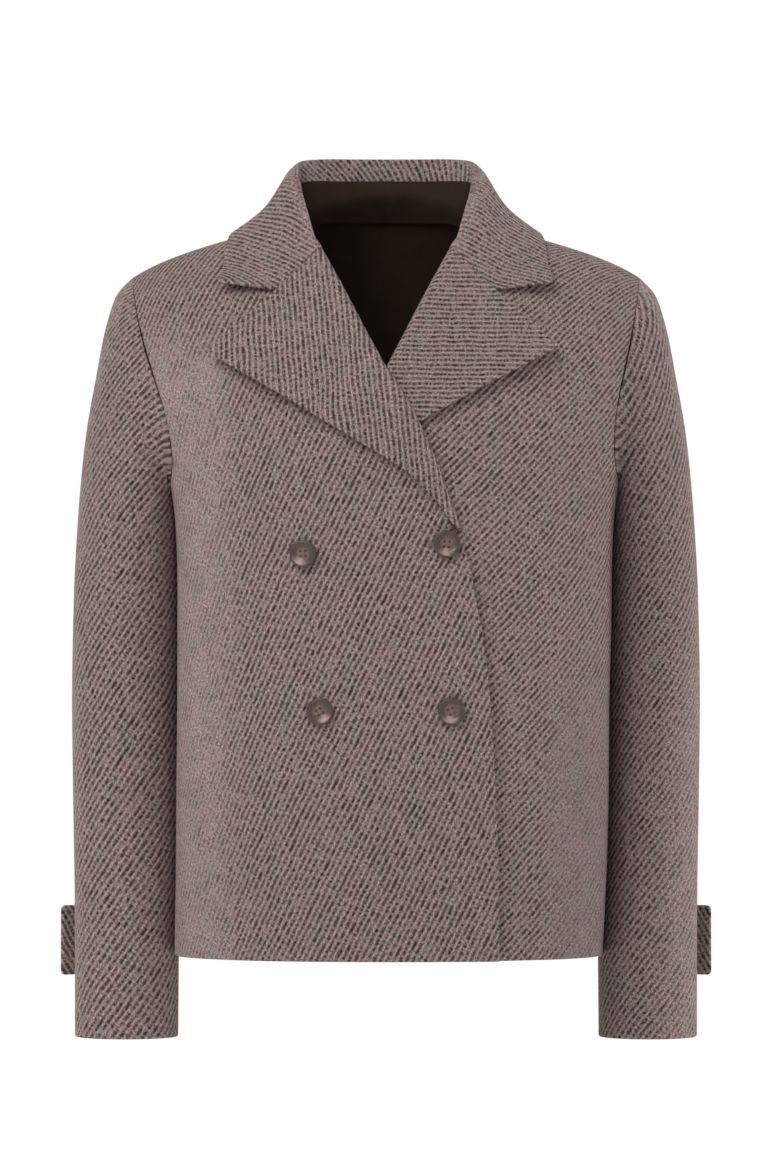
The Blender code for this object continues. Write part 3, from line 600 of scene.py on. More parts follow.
def smooth(knots, values, at):
    """Smooth curve through the knots with no overshoot: a cubic whose slopes are harmonic means."""
    at = np.clip(np.asarray(at, float), knots[0], knots[-1])
    flat = at.ravel()
    values = np.asarray(values, float)
    if values.ndim == 1:
        values = np.repeat(values[:, None], flat.size, axis=1)
    else:
        values = values.reshape(len(knots), -1)
    step = np.diff(knots)
    rise = np.diff(values, axis=0) / step[:, None]
    product = rise[:-1] * rise[1:]
    total = np.where(product > 0, rise[:-1] + rise[1:], 1.0)
    slope = np.zeros_like(values)
    slope[1:-1] = np.where(product > 0, 2 * product / total, 0.0)
    slope[0] = rise[0]
    slope[-1] = rise[-1]
    low = np.clip(np.searchsorted(knots, flat, side="right") - 1, 0, len(knots) - 2)
    each = np.arange(flat.size)
    width = step[low]
    part = (flat - knots[low]) / width
    start = values[low, each] * (1 + 2 * part) * (1 - part) ** 2
    end = values[low + 1, each] * part ** 2 * (3 - 2 * part)
    leave = slope[low, each] * width * part * (1 - part) ** 2
    arrive = slope[low + 1, each] * width * part ** 2 * (part - 1)
    return (start + end + leave + arrive).reshape(at.shape)


def smooth_points(knots, points, at):
    """Smooth curve through points in space, each coordinate as in smooth()."""
    return np.stack([smooth(knots, points[..., axis], at) for axis in range(3)], axis=-1)


def ease(part):
    """Smooth step from 0 to 1."""
    part = np.clip(part, 0.0, 1.0)
    return part * part * (3 - 2 * part)


def signed_power(value, power):
    """Power that keeps the sign of its base."""
    return np.sign(value) * np.abs(value) ** power


def unit(vectors):
    """Vectors of length one."""
    return vectors / np.linalg.norm(vectors, axis=-1, keepdims=True)


def stacked(x, y, z):
    """Points from their coordinates."""
    return np.stack(np.broadcast_arrays(x, y, z), axis=-1)


def facing_out(surface, u, v, sign=1.0):
    """Unit normals of surface(u, v), from differences along both parameters."""
    along_u = surface(u + SMALL_STEP, v) - surface(u - SMALL_STEP, v)
    along_v = surface(u, v + SMALL_STEP) - surface(u, v - SMALL_STEP)
    return sign * unit(np.cross(along_u, along_v))


def run_lengths(points, axis):
    """Lengths along a grid's lines, from zero at their start."""
    step = np.linalg.norm(np.diff(points, axis=axis), axis=-1)
    return np.insert(np.cumsum(step, axis=axis), 0, 0.0, axis=axis)


def creases(marks, x, z):
    """Height that creases add: each a trough along a line, its section a bell curve, fading to both ends."""
    height = np.zeros(np.broadcast(x, z).shape)
    for x0, z0, x1, z1, width, depth in zip(*marks.values()):
        length = math.hypot(x1 - x0, z1 - z0)
        along = ((x - x0) * (x1 - x0) + (z - z0) * (z1 - z0)) / length ** 2
        away = ((x - x0) * (z1 - z0) - (z - z0) * (x1 - x0)) / length
        fade = ease(along / CREASE_FADE) * ease((1 - along) / CREASE_FADE)
        height = height - depth * fade * np.exp(-(away / width) ** 2)
    return height


def unevenness(x, z):
    """Slow swell of the cloth: two products of sines with unlike wavelengths."""
    first, second, third, fourth = UNEVEN_LENGTHS
    broad = np.sin(x / first + UNEVEN_PHASES[0]) * np.sin(z / second)
    slanted = np.sin((x + z) / third) * np.sin(z / fourth + UNEVEN_PHASES[1])
    return UNEVEN * (broad + slanted)


# The body: a rounded box section below the chest, closing over it to the shoulder line

def ridge(side, across):
    """Height of the shoulder line at a distance from the middle; inside the neck it rises to the nape."""
    out = np.abs(across) - NECK_X
    inside = np.clip(-out / NECK_X, 0.0, 1.0)
    line = NECK_Z - SHOULDER_SLOPE * out - TIP_DROP * (out / SHOULDER_REACH) ** TIP_CURVE
    rise = inside ** 2 if side == FRONT else ease(inside * NAPE_FLATNESS)
    return line + NAPE_RISE * rise


def torso(name, height):
    """A column of the body's sections at a height."""
    return smooth(TORSO["height"], TORSO[name], height)


def climb_and_dome(level):
    """Share of the way from hem to chest, and the turn of the dome above the chest."""
    return np.minimum(level, 1.0), np.maximum(level - 1.0, 0.0) * QUARTER


def row_height(level):
    """Height of a row at the armhole: level 0 is the hem, 1 the chest and 2 the shoulder line."""
    climb, dome = climb_and_dome(level)
    return HEM + (CHEST - HEM) * climb + (TIP - CHEST) * np.sin(dome)


def body(side, turn, level):
    """Point on the body: across by the sine of the turn, outwards by a rounded box, up by the level."""
    row = row_height(level)
    climb, dome = climb_and_dome(level)
    across = np.sin(turn) * torso("half_width", row)
    depth = torso(DEPTH_NAME[side], row)
    power = SQUARENESS[side]
    section = np.sign(np.cos(turn)) * np.abs(1 - np.abs(np.sin(turn)) ** power) ** (1 / power)
    close = signed_power(np.cos(dome), ROUNDING[side])
    middle = SIDE_Y + (RIDGE_Y - SIDE_Y) * np.sin(dome)
    z = HEM + (CHEST - HEM) * climb + (ridge(side, across) - CHEST) * np.sin(dome)
    return stacked(across + torso("shift", row), middle + side * depth * close * section, z)


def body_normal(side, turn, level):
    """Outward normal of the body."""
    return facing_out(partial(body, side), turn, level, -side)


def turn_at(x, level):
    """Turn of the point at x in a row."""
    row = row_height(level)
    return np.arcsin(np.clip((x - torso("shift", row)) / torso("half_width", row), -1.0, 1.0))


def locate(x, z):
    """Turn and level of the body's front at x and z: the reverse of body()."""
    x = np.asarray(x, float)
    z = np.asarray(z, float)
    shift = np.zeros_like(x)
    for _ in range(LOCATE_ROUNDS):
        share = np.clip((z - CHEST) / (ridge(FRONT, x - shift) - CHEST), 0.0, 1.0)
        dome = 1.0 + np.arcsin(share) / QUARTER
        level = np.where(z < CHEST, (z - HEM) / (CHEST - HEM), dome)
        shift = torso("shift", row_height(level))
    return turn_at(x, level), level


def seam_turn(level):
    """Turn of the side seam, and above the chest of the armhole seam."""
    rise = np.maximum(level - 1.0, 0.0)
    leave = np.clip(1.0 - rise / ARMHOLE_RISE, 0.0, 1.0) ** ARMHOLE_CURVE
    share = ARMHOLE_SHARE + (1.0 - ARMHOLE_SHARE) * leave
    return np.arcsin(share) - SIDE_STOP * leave


def panel_level(v, side):
    """Rows of a panel from hem to shoulder, closer together just above the underarm."""
    below = np.minimum(v * 2, 1.0)
    above = np.maximum(v * 2 - 1.0, 0.0) ** ROW_CROWDING
    return below + above * (RIDGE_STOP[side] - 1.0)


def laid_flat(points, turn, level):
    """Panel opened flat: x and height, longer by the way round the body and over the shoulder."""
    across = points[..., 0] + ROUND_BODY * (turn / QUARTER) ** 3
    up = points[..., 2] + OVER_SHOULDER * np.maximum(level - 1.0, 0.0) ** 3
    return across, up


# The fronts

def roll_x(z):
    """The right front's visible edge at a height."""
    return smooth(FRONT_EDGE["height"], FRONT_EDGE["x"], z)


def lap_lift(x, z):
    """How far the right front stands off the body where it passes over the left front and lapel."""
    below_neck = ease((LAP_TOP + LAP_TOP_FADE - z) / LAP_TOP_FADE)
    lift = LAP_LIFT * below_neck * ease((x - LAP_START) / (LAP_FULL - LAP_START))
    past_roll = ease((x + roll_x(z)) / UNDER_LAPEL_EASE + 1.0)
    above_end = ease((z - UNDER_LAPEL_END) / UNDER_LAPEL_EASE + 1.0)
    at_free_edge = ease((x - roll_x(z)) / FREE_EDGE_RUN + 1.0) * ease((BREAK - z) / FREE_EDGE_RUN)
    return lift + UNDER_LAPEL_LIFT * past_roll * above_end + FREE_EDGE_LIFT * at_free_edge


def front_surface(hand, turn, level):
    """Outer face of a front: the body with its creases, the right front lifted over the left."""
    points = body(FRONT, turn, level)
    x = points[..., 0]
    z = points[..., 2]
    lift = creases(FRONT_CREASES, x, z) + unevenness(x, z)
    if hand == RIGHT:
        lift = lift + lap_lift(x, z)
    return points + body_normal(FRONT, turn, level) * lift[..., None]


def front_at(hand, x, z):
    """Outer face of a front at x and z, with its normal."""
    turn, level = locate(x, z)
    outer_face = partial(front_surface, hand)
    return outer_face(turn, level), facing_out(outer_face, turn, level)


def front_edge_turn(hand, level):
    """Turn of a front's inner edge: set back by the fold along the roll line, then up to the neck point."""
    height = FRONT_EDGE["height"]
    edge = FRONT_EDGE["x"] - FOLD_SET * ease((height - BREAK) / FOLD_SET_RUN + 1.0)
    x = -hand * np.append(edge[:-1], (edge[-1] - GORGE_SET, -NECK_X))
    z = np.append(height, NECK_Z)
    level_known = locate(x, z)[1]
    return turn_at(smooth(level_known, x, level), level)


def front_place(hand, u, v):
    """Turn and level on a front: across from its inner edge to the side and armhole, up from the hem."""
    level = panel_level(v, FRONT)
    inner = front_edge_turn(hand, level)
    return inner + (hand * seam_turn(level) - inner) * u, level


def low_left(x, z):
    """Brushed place low on the left side, which also gets painted shade: 1 inside it and 0 outside, with
    soft edges.
    """
    return ease((x - LOW_LEFT_X) / LOW_LEFT_RUN) * ease((LOW_LEFT_TOP - z) / LOW_LEFT_FADE)


def front_nap(x, z):
    """Brushed places of the fronts: down the right side, and low on the left side."""
    right = ease((NAP_RIGHT_X - x) / NAP_RIGHT_RUN) * ease((NAP_RIGHT_TOP - z) / NAP_RIGHT_FADE)
    return np.maximum(right, low_left(x, z))


def front_painted_shade(x, z):
    """Painted shade on the fronts: darker towards the hem, and more low on the left side."""
    return HEM_SHADE * ease((HEM_SHADE_TOP - z) / HEM_SHADE_FADE) + LOW_LEFT_SHADE * low_left(x, z)


# The back

def neckline_level(across):
    """Level of the back's top edge: the shoulder line, dipping to the nape between the neck points."""
    rise = np.minimum(np.abs(across) / NECK_X, 1.0) ** NECKLINE_CURVE
    return NAPE_LEVEL + (RIDGE_STOP[BACK] - NAPE_LEVEL) * rise


def back_place(u, v):
    """Turn and level on the back for the panel's parameters, its columns closer in the middle."""
    level = panel_level(v, BACK)
    across = u * 2 - 1
    turn = across * (BACK_MIDDLE + (1 - BACK_MIDDLE) * across ** 2) * seam_turn(level)
    x = np.sin(turn) * torso("half_width", row_height(level))
    cut = (RIDGE_STOP[BACK] - neckline_level(x)) * np.maximum(level - 1.0, 0.0) / (RIDGE_STOP[BACK] - 1.0)
    return turn, level - cut


def back_surface(turn, level):
    """Outer face of the back: the body with its creases."""
    points = body(BACK, turn, level)
    x = points[..., 0]
    z = points[..., 2]
    lift = creases(BACK_CREASES, x, z) + unevenness(x, z)
    return points + body_normal(BACK, turn, level) * lift[..., None]


# The sleeves

def sleeve_ring(hand, angle, row):
    """Ring of a sleeve: an ellipse between its outer and inner points, front half at positive sine."""
    rows = np.arange(SLEEVE_LAST + 1)
    column = {name: smooth(rows, values, row) for name, values in SLEEVE.items()}
    outer_x = hand * column["outer_x"]
    inner_x = hand * column["inner_x"] + torso("shift", column["inner_z"])
    part = (1 + np.cos(angle)) / 2
    x = inner_x + (outer_x - inner_x) * part
    z = column["inner_z"] + (column["outer_z"] - column["inner_z"]) * part
    return stacked(x, column["middle_y"] - np.sin(angle) * column["half_depth"], z)


def from_top(angle):
    """Turn from a sleeve ring's top, the same in front and behind."""
    angle = np.mod(angle, TURN)
    return np.minimum(angle, TURN - angle)


def armhole(hand, angle):
    """Armhole seam of the body, one seam gap out."""
    row = 1.0 - from_top(angle) / TURN
    in_front = np.sin(angle)[..., None] >= 0
    points = {}
    for side in (FRONT, BACK):
        level = panel_level(row, side)
        points[side] = body(side, hand * seam_turn(level), level)
    lift = UNDERARM_GAP * ease(from_top(angle) / QUARTER - 1.0)
    return np.where(in_front, points[FRONT], points[BACK]) + stacked(hand * SEAM_GAP, 0.0, lift)


def beside_body(hand, points, row):
    """Sleeve points moved out where they would come too near the side of the body."""
    x, y, z = np.moveaxis(points, -1, 0)
    dome = np.arcsin(np.clip((z - CHEST) / (TIP - CHEST), 0.0, 1.0))
    shift = torso("shift", z)
    away = y - SIDE_Y - (RIDGE_Y - SIDE_Y) * np.sin(dome)
    reach = {}
    for side, power in SQUARENESS.items():
        depth = torso(DEPTH_NAME[side], z) * np.cos(dome) ** ROUNDING[side]
        within = np.minimum(np.abs(away) / depth, 1.0)
        reach[side] = torso("half_width", z) * (1 - within ** power) ** (1 / power)
    clear = SEAM_GAP + SLEEVE_CLEAR * ease(row / SLEEVE_CLEAR_ROWS)
    clear = clear - np.maximum(z - SLEEVE_LEAVE_Z, 0.0) * SLEEVE_LEAVE
    nearest = np.where(away < 0, reach[FRONT], reach[BACK]) + clear
    return stacked(shift + hand * np.maximum(hand * (x - shift), nearest), y, z)


def sleeve_points(hand, u, v):
    """Sleeve tube: rings down the arm, the first few drawn on to the armhole seam."""
    angle = u * TURN
    row = v * SLEEVE_LAST
    points = sleeve_ring(hand, angle, row)
    pull = np.clip(1 - row / SLEEVE_BLEND_ROWS, 0.0, 1.0) ** 2
    seam = armhole(hand, angle) - sleeve_ring(hand, angle, np.zeros_like(row))
    return beside_body(hand, points + seam * pull[..., None], row)


def sleeve_flat(hand, points, u):
    """Sleeve opened flat along its inner line: the way round from its outer line, and the height.

    The way round is as on an ellipse: the turn times the root mean square of its half width and half depth.
    """
    z = points[..., 2]
    wanted = ("outer_x", "middle_y", "half_depth")
    column = {name: smooth(-SLEEVE["outer_z"], SLEEVE[name], -z) for name in wanted}
    half = SLEEVE_WIDTH / 2
    inwards = (column["outer_x"] - hand * points[..., 0]) / half
    forwards = np.abs(points[..., 1] - column["middle_y"]) / column["half_depth"]
    around = np.arctan2(forwards, 1 - inwards) * np.sqrt((half ** 2 + column["half_depth"] ** 2) / 2)
    return -hand * np.sign(u) * around, z


def sleeve_painted_shade(hand, u):
    """Painted shade on a sleeve where the body shades it: darker from its outer line to its inner line."""
    return SLEEVE_PAINTED_SHADE[hand] * ease((np.abs(u) - SLEEVE_SHADE_START) / SLEEVE_SHADE_RUN)


def sleeve_nap_and_highlight(hand, u, v):
    """Brushed strip along a sleeve's outer line, its pale colour also a painted highlight, wider low on the
    left sleeve.
    """
    reach = np.full_like(u, SLEEVE_STRIP_REACH)
    if hand == LEFT:
        reach = reach + SLEEVE_STRIP_FURTHER * ease((v - SLEEVE_STRIP_START) / SLEEVE_STRIP_RUN)
    return SLEEVE_NAP_AND_HIGHLIGHT * (1 - ease(np.abs(u) * TURN / reach - SLEEVE_STRIP_FULL))


# The lapels

def lapel_place(hand, u, v):
    """Where a lapel lies: x, z and height on the front, and x and z of the lapel opened flat."""
    rows = np.linspace(0.0, 1.0, len(LAPEL[hand]["roll_z"]))
    column = {name: smooth(rows, values, v) for name, values in LAPEL[hand].items()}
    column["roll_x"] = roll_x(column["roll_z"])
    run_x = column["edge_x"] - column["roll_x"]
    run_z = column["edge_z"] - column["roll_z"]
    width = np.hypot(run_x, run_z)
    angle = FOLD_START + (QUARTER - FOLD_START) * np.clip(u / FOLD_SHARE, 0.0, 1.0)
    flat = np.clip((u - FOLD_SHARE) / (1 - FOLD_SHARE), 0.0, 1.0)
    beyond = (width - FOLD) * flat
    out = FOLD * (1 - np.cos(angle)) + beyond
    opened = FOLD * (1 + angle - QUARTER) + beyond
    lift = LAPEL_EDGE_LIFT * (1 - ease(v / LAPEL_LIFT_END[hand])) * flat ** 2
    lift = lift + LAPEL_AIR[hand] * ease(flat / LAPEL_AIR_RUN)
    height = FOLD * np.sin(angle) - WALL / 2 + lift
    across = [-hand * (column["roll_x"] + run_x / width * far) for far in (out, opened)]
    up = [column["roll_z"] + run_z / width * far for far in (out, opened)]
    return across[0], up[0], height, across[1], up[1]


# The collar

def over_body(x, over):
    """Point and normal on the body at x, by a level that runs past the shoulder line, 2, to the back."""
    level = np.minimum(np.where(over > 2, 4 - over, over), SHOULDER_LEVEL)
    turn = turn_at(x, level)
    behind = (over > 2)[..., None]
    points = np.where(behind, body(BACK, turn, level), body(FRONT, turn, level))
    normal = np.where(behind, body_normal(BACK, turn, level), body_normal(FRONT, turn, level))
    return points, normal


def collar_end(side, at, v):
    """Strip at the collar's front end: round the fold, beside the lapel to the notch, then to the corner."""
    gap = GORGE_GAP + (1 - at) * COLLAR_RUN
    roll_z = LAPEL[RIGHT]["roll_z"][0]
    start_x = roll_x(roll_z)
    run_x = LAPEL[RIGHT]["edge_x"][0] - start_x
    run_z = LAPEL[RIGHT]["edge_z"][0] - roll_z
    width = math.hypot(run_x, run_z)
    turn = FOLD_START + (QUARTER - FOLD_START) * np.clip(v / SECTION_KNOTS[3], 0.0, 1.0)
    along = np.clip((v - SECTION_KNOTS[3]) / (SECTION_KNOTS[4] - SECTION_KNOTS[3]), 0.0, 1.0)
    beyond = np.clip((v - SECTION_KNOTS[4]) / (SECTION_KNOTS[5] - SECTION_KNOTS[4]), 0.0, 1.0)
    out = FOLD * (1 - np.cos(turn)) + (NOTCH_OUT - FOLD) * along
    # Away from its end the strip follows the roll line at its fold, and is square to the gorge at the notch
    x = start_x + run_x / width * out - gap * (ROLL_LEAN * (1 - along) - run_z / width * along)
    z = roll_z + run_z / width * out + gap * (1 - along - run_x / width * along)
    x = x + (-COLLAR["edge_x"][-1] - x) * beyond
    z = z + (CORNER_Z + gap - z) * beyond
    points, normal = front_at(LEFT, -side * x, z)
    height = FOLD * np.sin(turn) - WALL / 2 + COLLAR_CORNER_LIFT * beyond
    return points + normal * height[..., None]


def mirrored(values, at, sign):
    """Collar value at a station, smooth across the middle of the back."""
    knots = np.insert(COLLAR_STATION, 0, -COLLAR_STATION[1])
    return smooth(knots, np.insert(values, 0, sign * values[1]), at)


def collar_section(station):
    """Six points of the collar's section: neck seam, inside of the fold, fold, outside, middle, edge."""
    side = np.where(station < 0, RIGHT, LEFT)
    at = np.abs(station)
    sign = {name: -1 if name.endswith("_x") else 1 for name in COLLAR}
    column = {name: mirrored(values, at, sign[name]) for name, values in COLLAR.items()}
    over = mirrored(COLLAR_EDGE_OVER, at, 1)
    neck = stacked(side * column["neck_x"], column["neck_y"], column["neck_z"])
    roll = stacked(side * column["roll_x"], column["roll_y"], column["roll_z"])
    edge, edge_normal = over_body(side * column["edge_x"], over)
    edge = edge + edge_normal * COLLAR_REST
    crest = unit(unit(roll - neck) + unit(roll - edge))
    outward = edge - neck
    outward = unit(outward - crest * np.sum(outward * crest, axis=-1, keepdims=True))
    inside = roll - crest * COLLAR_FOLD_DROP - outward * COLLAR_FOLD_IN
    outside = roll - crest * COLLAR_FOLD_DROP + outward * COLLAR_FOLD_OUT
    middle = (outside + edge) / 2 - outward * COLLAR_SAG
    return neck, inside, roll, outside, middle, edge


def collar_points(u, v):
    """Collar: its section carried from one front end round the neck to the other."""
    station = np.clip(u, 0.0, 1.0) * 2 - 1
    v = np.clip(v, 0.0, 1.0)
    points = smooth_points(SECTION_KNOTS, np.array(collar_section(station)), v)
    at = np.abs(station)
    near_end = ease((at - COLLAR_END_START) / (COLLAR_END_FULL - COLLAR_END_START))[..., None]
    return points + (collar_end(np.where(station < 0, RIGHT, LEFT), at, v) - points) * near_end


def collar_flat(points, v):
    """Collar opened flat: a band bent to an arc, with its ends as they lie, and the way from its fold."""
    fold = int(np.argmin(np.abs(v[0] - SECTION_KNOTS[2])))
    round_neck = run_lengths(points, 0)
    round_neck = round_neck - round_neck[len(points) // 2]
    down = run_lengths(points, 1)
    from_fold = np.abs(down - down[:, fold:fold + 1])
    half = round_neck[-1, fold]
    # The last row on the slope of the chest: how far each point lies past the end of the fold
    x, y, z = np.moveaxis(points, -1, 0)
    on_slope = np.stack((x, (z + y) / math.sqrt(2)), axis=-1)
    end = on_slope[-1]
    past = (end - end[fold]) @ unit(end[fold] - on_slope[-COLLAR_END_ROWS, fold])
    past[:fold] = 0.0
    bend = round_neck / round_neck[-1] * (1 + past / half) * COLLAR_BEND
    radius = half / COLLAR_BEND + from_fold
    return radius * np.sin(bend), radius * np.cos(bend), from_fold


# The neck facing

def facing_foot(x):
    """Point and normal on the back where the facing ends, at x: level across, but below the neckline."""
    share = np.clip((FACING_FOOT_Z - CHEST) / (ridge(BACK, x) - CHEST), 0.0, 1.0)
    level = 1.0 + np.minimum(np.arcsin(share) / QUARTER, FACING_FOOT_SHARE * (neckline_level(x) - 1.0))
    turn = turn_at(x, level)
    return body(BACK, turn, level), body_normal(BACK, turn, level)


def neck_facing_points(u, v):
    """Neck facing: from the foot on the back, past the neck seam, up on to the collar's stand."""
    stand_u = ((u * 2 - 1) * FACING_STATION + 1) / 2
    at_top = FACING_TOP + FACING_TOP_RISE * (u * 2 - 1) ** 2
    at_seam = np.zeros_like(u)
    top = collar_points(stand_u, at_top) + facing_out(collar_points, stand_u, at_top) * FACING_CLEAR[2]
    seam = collar_points(stand_u, at_seam)
    foot, foot_normal = facing_foot(seam[..., 0])
    foot = foot - foot_normal * (WALL + FACING_CLEAR[0])
    seam = seam + facing_out(collar_points, stand_u, at_seam) * FACING_CLEAR[1]
    return smooth_points(FACING_KNOTS, np.array((foot, seam, top)), v)


# The cuff straps

def strap_points(hand, u, v):
    """Cuff strap: along the back of the sleeve, then straight off it to a free end with round corners."""
    z = STRAP_TOP + (STRAP_BOTTOM - STRAP_TOP) * v
    down = smooth(-SLEEVE["outer_z"], np.arange(SLEEVE_LAST + 1), -z) / SLEEVE_LAST
    angle = STRAP_ROOT_TURN + (STRAP_LEAVE_TURN - STRAP_ROOT_TURN) * np.clip(u / STRAP_SEWN, 0.0, 1.0)
    around = -angle / TURN
    place = partial(sleeve_points, hand)
    face = place(around, down) + facing_out(place, around, down, hand) * (STRAP_WALL + LAYER_GAP)
    ahead = unit(place(around + SMALL_STEP, down) - place(around - SMALL_STEP, down))
    corner = np.minimum(np.minimum(v, 1 - v) * (STRAP_TOP - STRAP_BOTTOM) / STRAP_CORNER, 1.0)
    trim = STRAP_CORNER * (1 - np.sqrt(1 - (1 - corner) ** 2))
    length = (STRAP_FREE_X - trim - np.abs(face[..., 0])) / np.abs(ahead[..., 0])
    off = np.clip((u - STRAP_SEWN) / (1 - STRAP_SEWN), 0.0, 1.0)
    return face + ahead * (length * off)[..., None]


# Materials

def add(tree, kind, inputs, output=0, **settings):
    """Output socket of a new node with its settings; inputs are values or sockets, by name or number."""
    made = tree.nodes.new(kind)
    for name, value in settings.items():
        setattr(made, name, value)
    for key, value in inputs.items():
        if isinstance(value, bpy.types.NodeSocket):
            tree.links.new(value, made.inputs[key])
        else:
            made.inputs[key].default_value = value
    return made.outputs[output]


def opaque(colour):
    """Colour with full alpha."""
    return (*colour, 1.0)


def material(name, dress, settings):
    """Material of this name: the known one, or a new one that is dressed with its settings."""
    known = bpy.data.materials.get(name)
    if known:
        return known
    made = bpy.data.materials.new(name)
    made.use_nodes = True
    dress(made.node_tree, made.node_tree.nodes["Principled BSDF"], settings)
    return made


def wool_twill(tree, shader, cloth):
    """Brushed wool twill: pale rounded ribs with rows of dark dashes between them."""
    weave = add(tree, "ShaderNodeUVMap", {}, uv_map="weave")
    across = add(tree, "ShaderNodeSeparateXYZ", {0: weave})
    along = add(tree, "ShaderNodeSeparateXYZ", {0: weave}, output=1)
    # Ribs wander a little, as in hand-finished cloth
    wander = add(tree, "ShaderNodeTexNoise", {"Vector": weave, "Scale": 1 / WANDER_SIZE, "Detail": 2.0},
                 noise_dimensions="2D")
    wander = add(tree, "ShaderNodeMath", {0: wander, 1: WANDER_FAR / cloth.rib_spacing},
                 operation="MULTIPLY")
    rib = add(tree, "ShaderNodeMath", {0: across, 1: 1 / cloth.rib_spacing, 2: wander},
              operation="MULTIPLY_ADD")
    rib_number = add(tree, "ShaderNodeMath", {0: rib}, operation="FLOOR")
    rib_part = add(tree, "ShaderNodeMath", {0: rib}, operation="FRACT")
    rib_part = add(tree, "ShaderNodeMath", {0: rib_part, 1: 0.5}, operation="SUBTRACT")
    from_dash = add(tree, "ShaderNodeMath", {0: rib_part}, operation="ABSOLUTE")
    # Each row between two ribs has its own uneven run of dashes, wider where they are darker
    row = add(tree, "ShaderNodeMath", {0: rib_number, 1: ROW_STEP, 2: ROW_START}, operation="MULTIPLY_ADD")
    run = add(tree, "ShaderNodeMath", {0: along, 1: 1 / cloth.dash_length}, operation="MULTIPLY")
    place = add(tree, "ShaderNodeCombineXYZ", {0: run, 1: row})
    uneven = add(tree, "ShaderNodeTexNoise",
                 {"Vector": place, "Scale": 1.0, "Detail": 2.0, "Roughness": DASH_ROUGH},
                 noise_dimensions="2D")
    half_width = add(tree, "ShaderNodeMapRange", {0: uneven, **DASH_HALF})
    wide = add(tree, "ShaderNodeMath", {0: from_dash, 1: half_width}, operation="DIVIDE")
    in_dash = add(tree, "ShaderNodeMapRange", {0: wide, **DASH_EDGE}, interpolation_type="SMOOTHSTEP")
    strength = add(tree, "ShaderNodeMapRange", {0: uneven, **DASH_STRENGTH},
                   interpolation_type="SMOOTHSTEP")
    in_dash = add(tree, "ShaderNodeMath", {0: in_dash, 1: strength}, operation="MULTIPLY")
    # Patches where the finishing has raised more fibre over the dashes
    cover = add(tree, "ShaderNodeTexNoise", {"Vector": weave, "Scale": 1 / COVER_SIZE, "Detail": 2.0},
                noise_dimensions="2D")
    cover = add(tree, "ShaderNodeMapRange", {0: cover, **COVER})
    in_dash = add(tree, "ShaderNodeMath", {0: in_dash, 1: cover}, operation="MULTIPLY")
    # Brushed nap hides the dashes where the cloth is worn or turned; along the sleeves' outer lines and the
    # collar's fold its pale colour is also a painted highlight
    nap = add(tree, "ShaderNodeAttribute", {}, output=2, attribute_name="nap")
    patchy = add(tree, "ShaderNodeTexNoise", {"Vector": weave, "Scale": 1 / NAP_SIZE, "Detail": 2.0},
                 noise_dimensions="2D")
    patchy = add(tree, "ShaderNodeMapRange", {0: patchy, **NAP_PATCHES})
    nap = add(tree, "ShaderNodeMath", {0: nap, 1: patchy}, operation="MULTIPLY")
    bare = add(tree, "ShaderNodeMapRange", {0: nap, **NAP_DASHES})
    in_dash = add(tree, "ShaderNodeMath", {0: in_dash, 1: bare}, operation="MULTIPLY")
    # Fibres lie along the ribs, drawn as bundles because single ones are too fine to show
    stretch = add(tree, "ShaderNodeVectorMath", {0: weave, 1: (1 / FIBRE_ACROSS, 1 / FIBRE_ALONG, 1.0)},
                  operation="MULTIPLY")
    fibre = add(tree, "ShaderNodeTexNoise", {"Vector": stretch, "Scale": 1.0, "Detail": 2.0},
                noise_dimensions="2D")
    crown = add(tree, "ShaderNodeMapRange", {0: from_dash, **CROWN_EDGE}, interpolation_type="SMOOTHSTEP")
    pale = add(tree, "ShaderNodeMix", {0: crown, 6: opaque(cloth.slope), 7: opaque(cloth.crown)}, output=2,
               data_type="RGBA")
    pale = add(tree, "ShaderNodeMix", {0: nap, 6: pale, 7: opaque(cloth.nap)}, output=2, data_type="RGBA")
    colour = add(tree, "ShaderNodeMix", {0: in_dash, 6: pale, 7: opaque(cloth.dash)}, output=2,
                 data_type="RGBA")
    # Melange yarn: the grey shifts slowly between pinkish and greenish
    place_on_jacket = add(tree, "ShaderNodeTexCoord", {}, output=3)
    melange = add(tree, "ShaderNodeTexNoise",
                  {"Vector": place_on_jacket, "Scale": 1 / MELANGE_SIZE, "Detail": 3.0})
    melange = add(tree, "ShaderNodeMapRange", {0: melange, **MELANGE})
    tint = add(tree, "ShaderNodeMix", {0: melange, 6: MELANGE_PINK, 7: MELANGE_GREEN}, output=2,
               data_type="RGBA")
    colour = add(tree, "ShaderNodeMix", {0: 1.0, 6: colour, 7: tint}, output=2, data_type="RGBA",
                 blend_type="MULTIPLY")
    fleck = add(tree, "ShaderNodeMapRange", {0: fibre, **FIBRE_FLECK})
    # Painted shade: the cloth is darkened where shade falls, towards the hem, low on the left front and on
    # the sleeves' inner sides
    painted_shade = add(tree, "ShaderNodeAttribute", {}, output=2, attribute_name="painted_shade")
    painted_shade = add(tree, "ShaderNodeMath", {0: 1.0, 1: painted_shade}, operation="SUBTRACT")
    fleck = add(tree, "ShaderNodeMath", {0: fleck, 1: painted_shade}, operation="MULTIPLY")
    colour = add(tree, "ShaderNodeMix", {0: 1.0, 6: colour, 7: fleck}, output=2, data_type="RGBA",
                 blend_type="MULTIPLY")
    tree.links.new(colour, shader.inputs["Base Color"])
    raised = add(tree, "ShaderNodeMath", {0: crown, 1: in_dash}, operation="SUBTRACT")
    raised = add(tree, "ShaderNodeMath", {0: fibre, 1: FIBRE_BUMP, 2: raised}, operation="MULTIPLY_ADD")
    bump = add(tree, "ShaderNodeBump",
               {"Strength": BUMP_STRENGTH, "Distance": cloth.rib_height, "Height": raised})
    tree.links.new(bump, shader.inputs["Normal"])
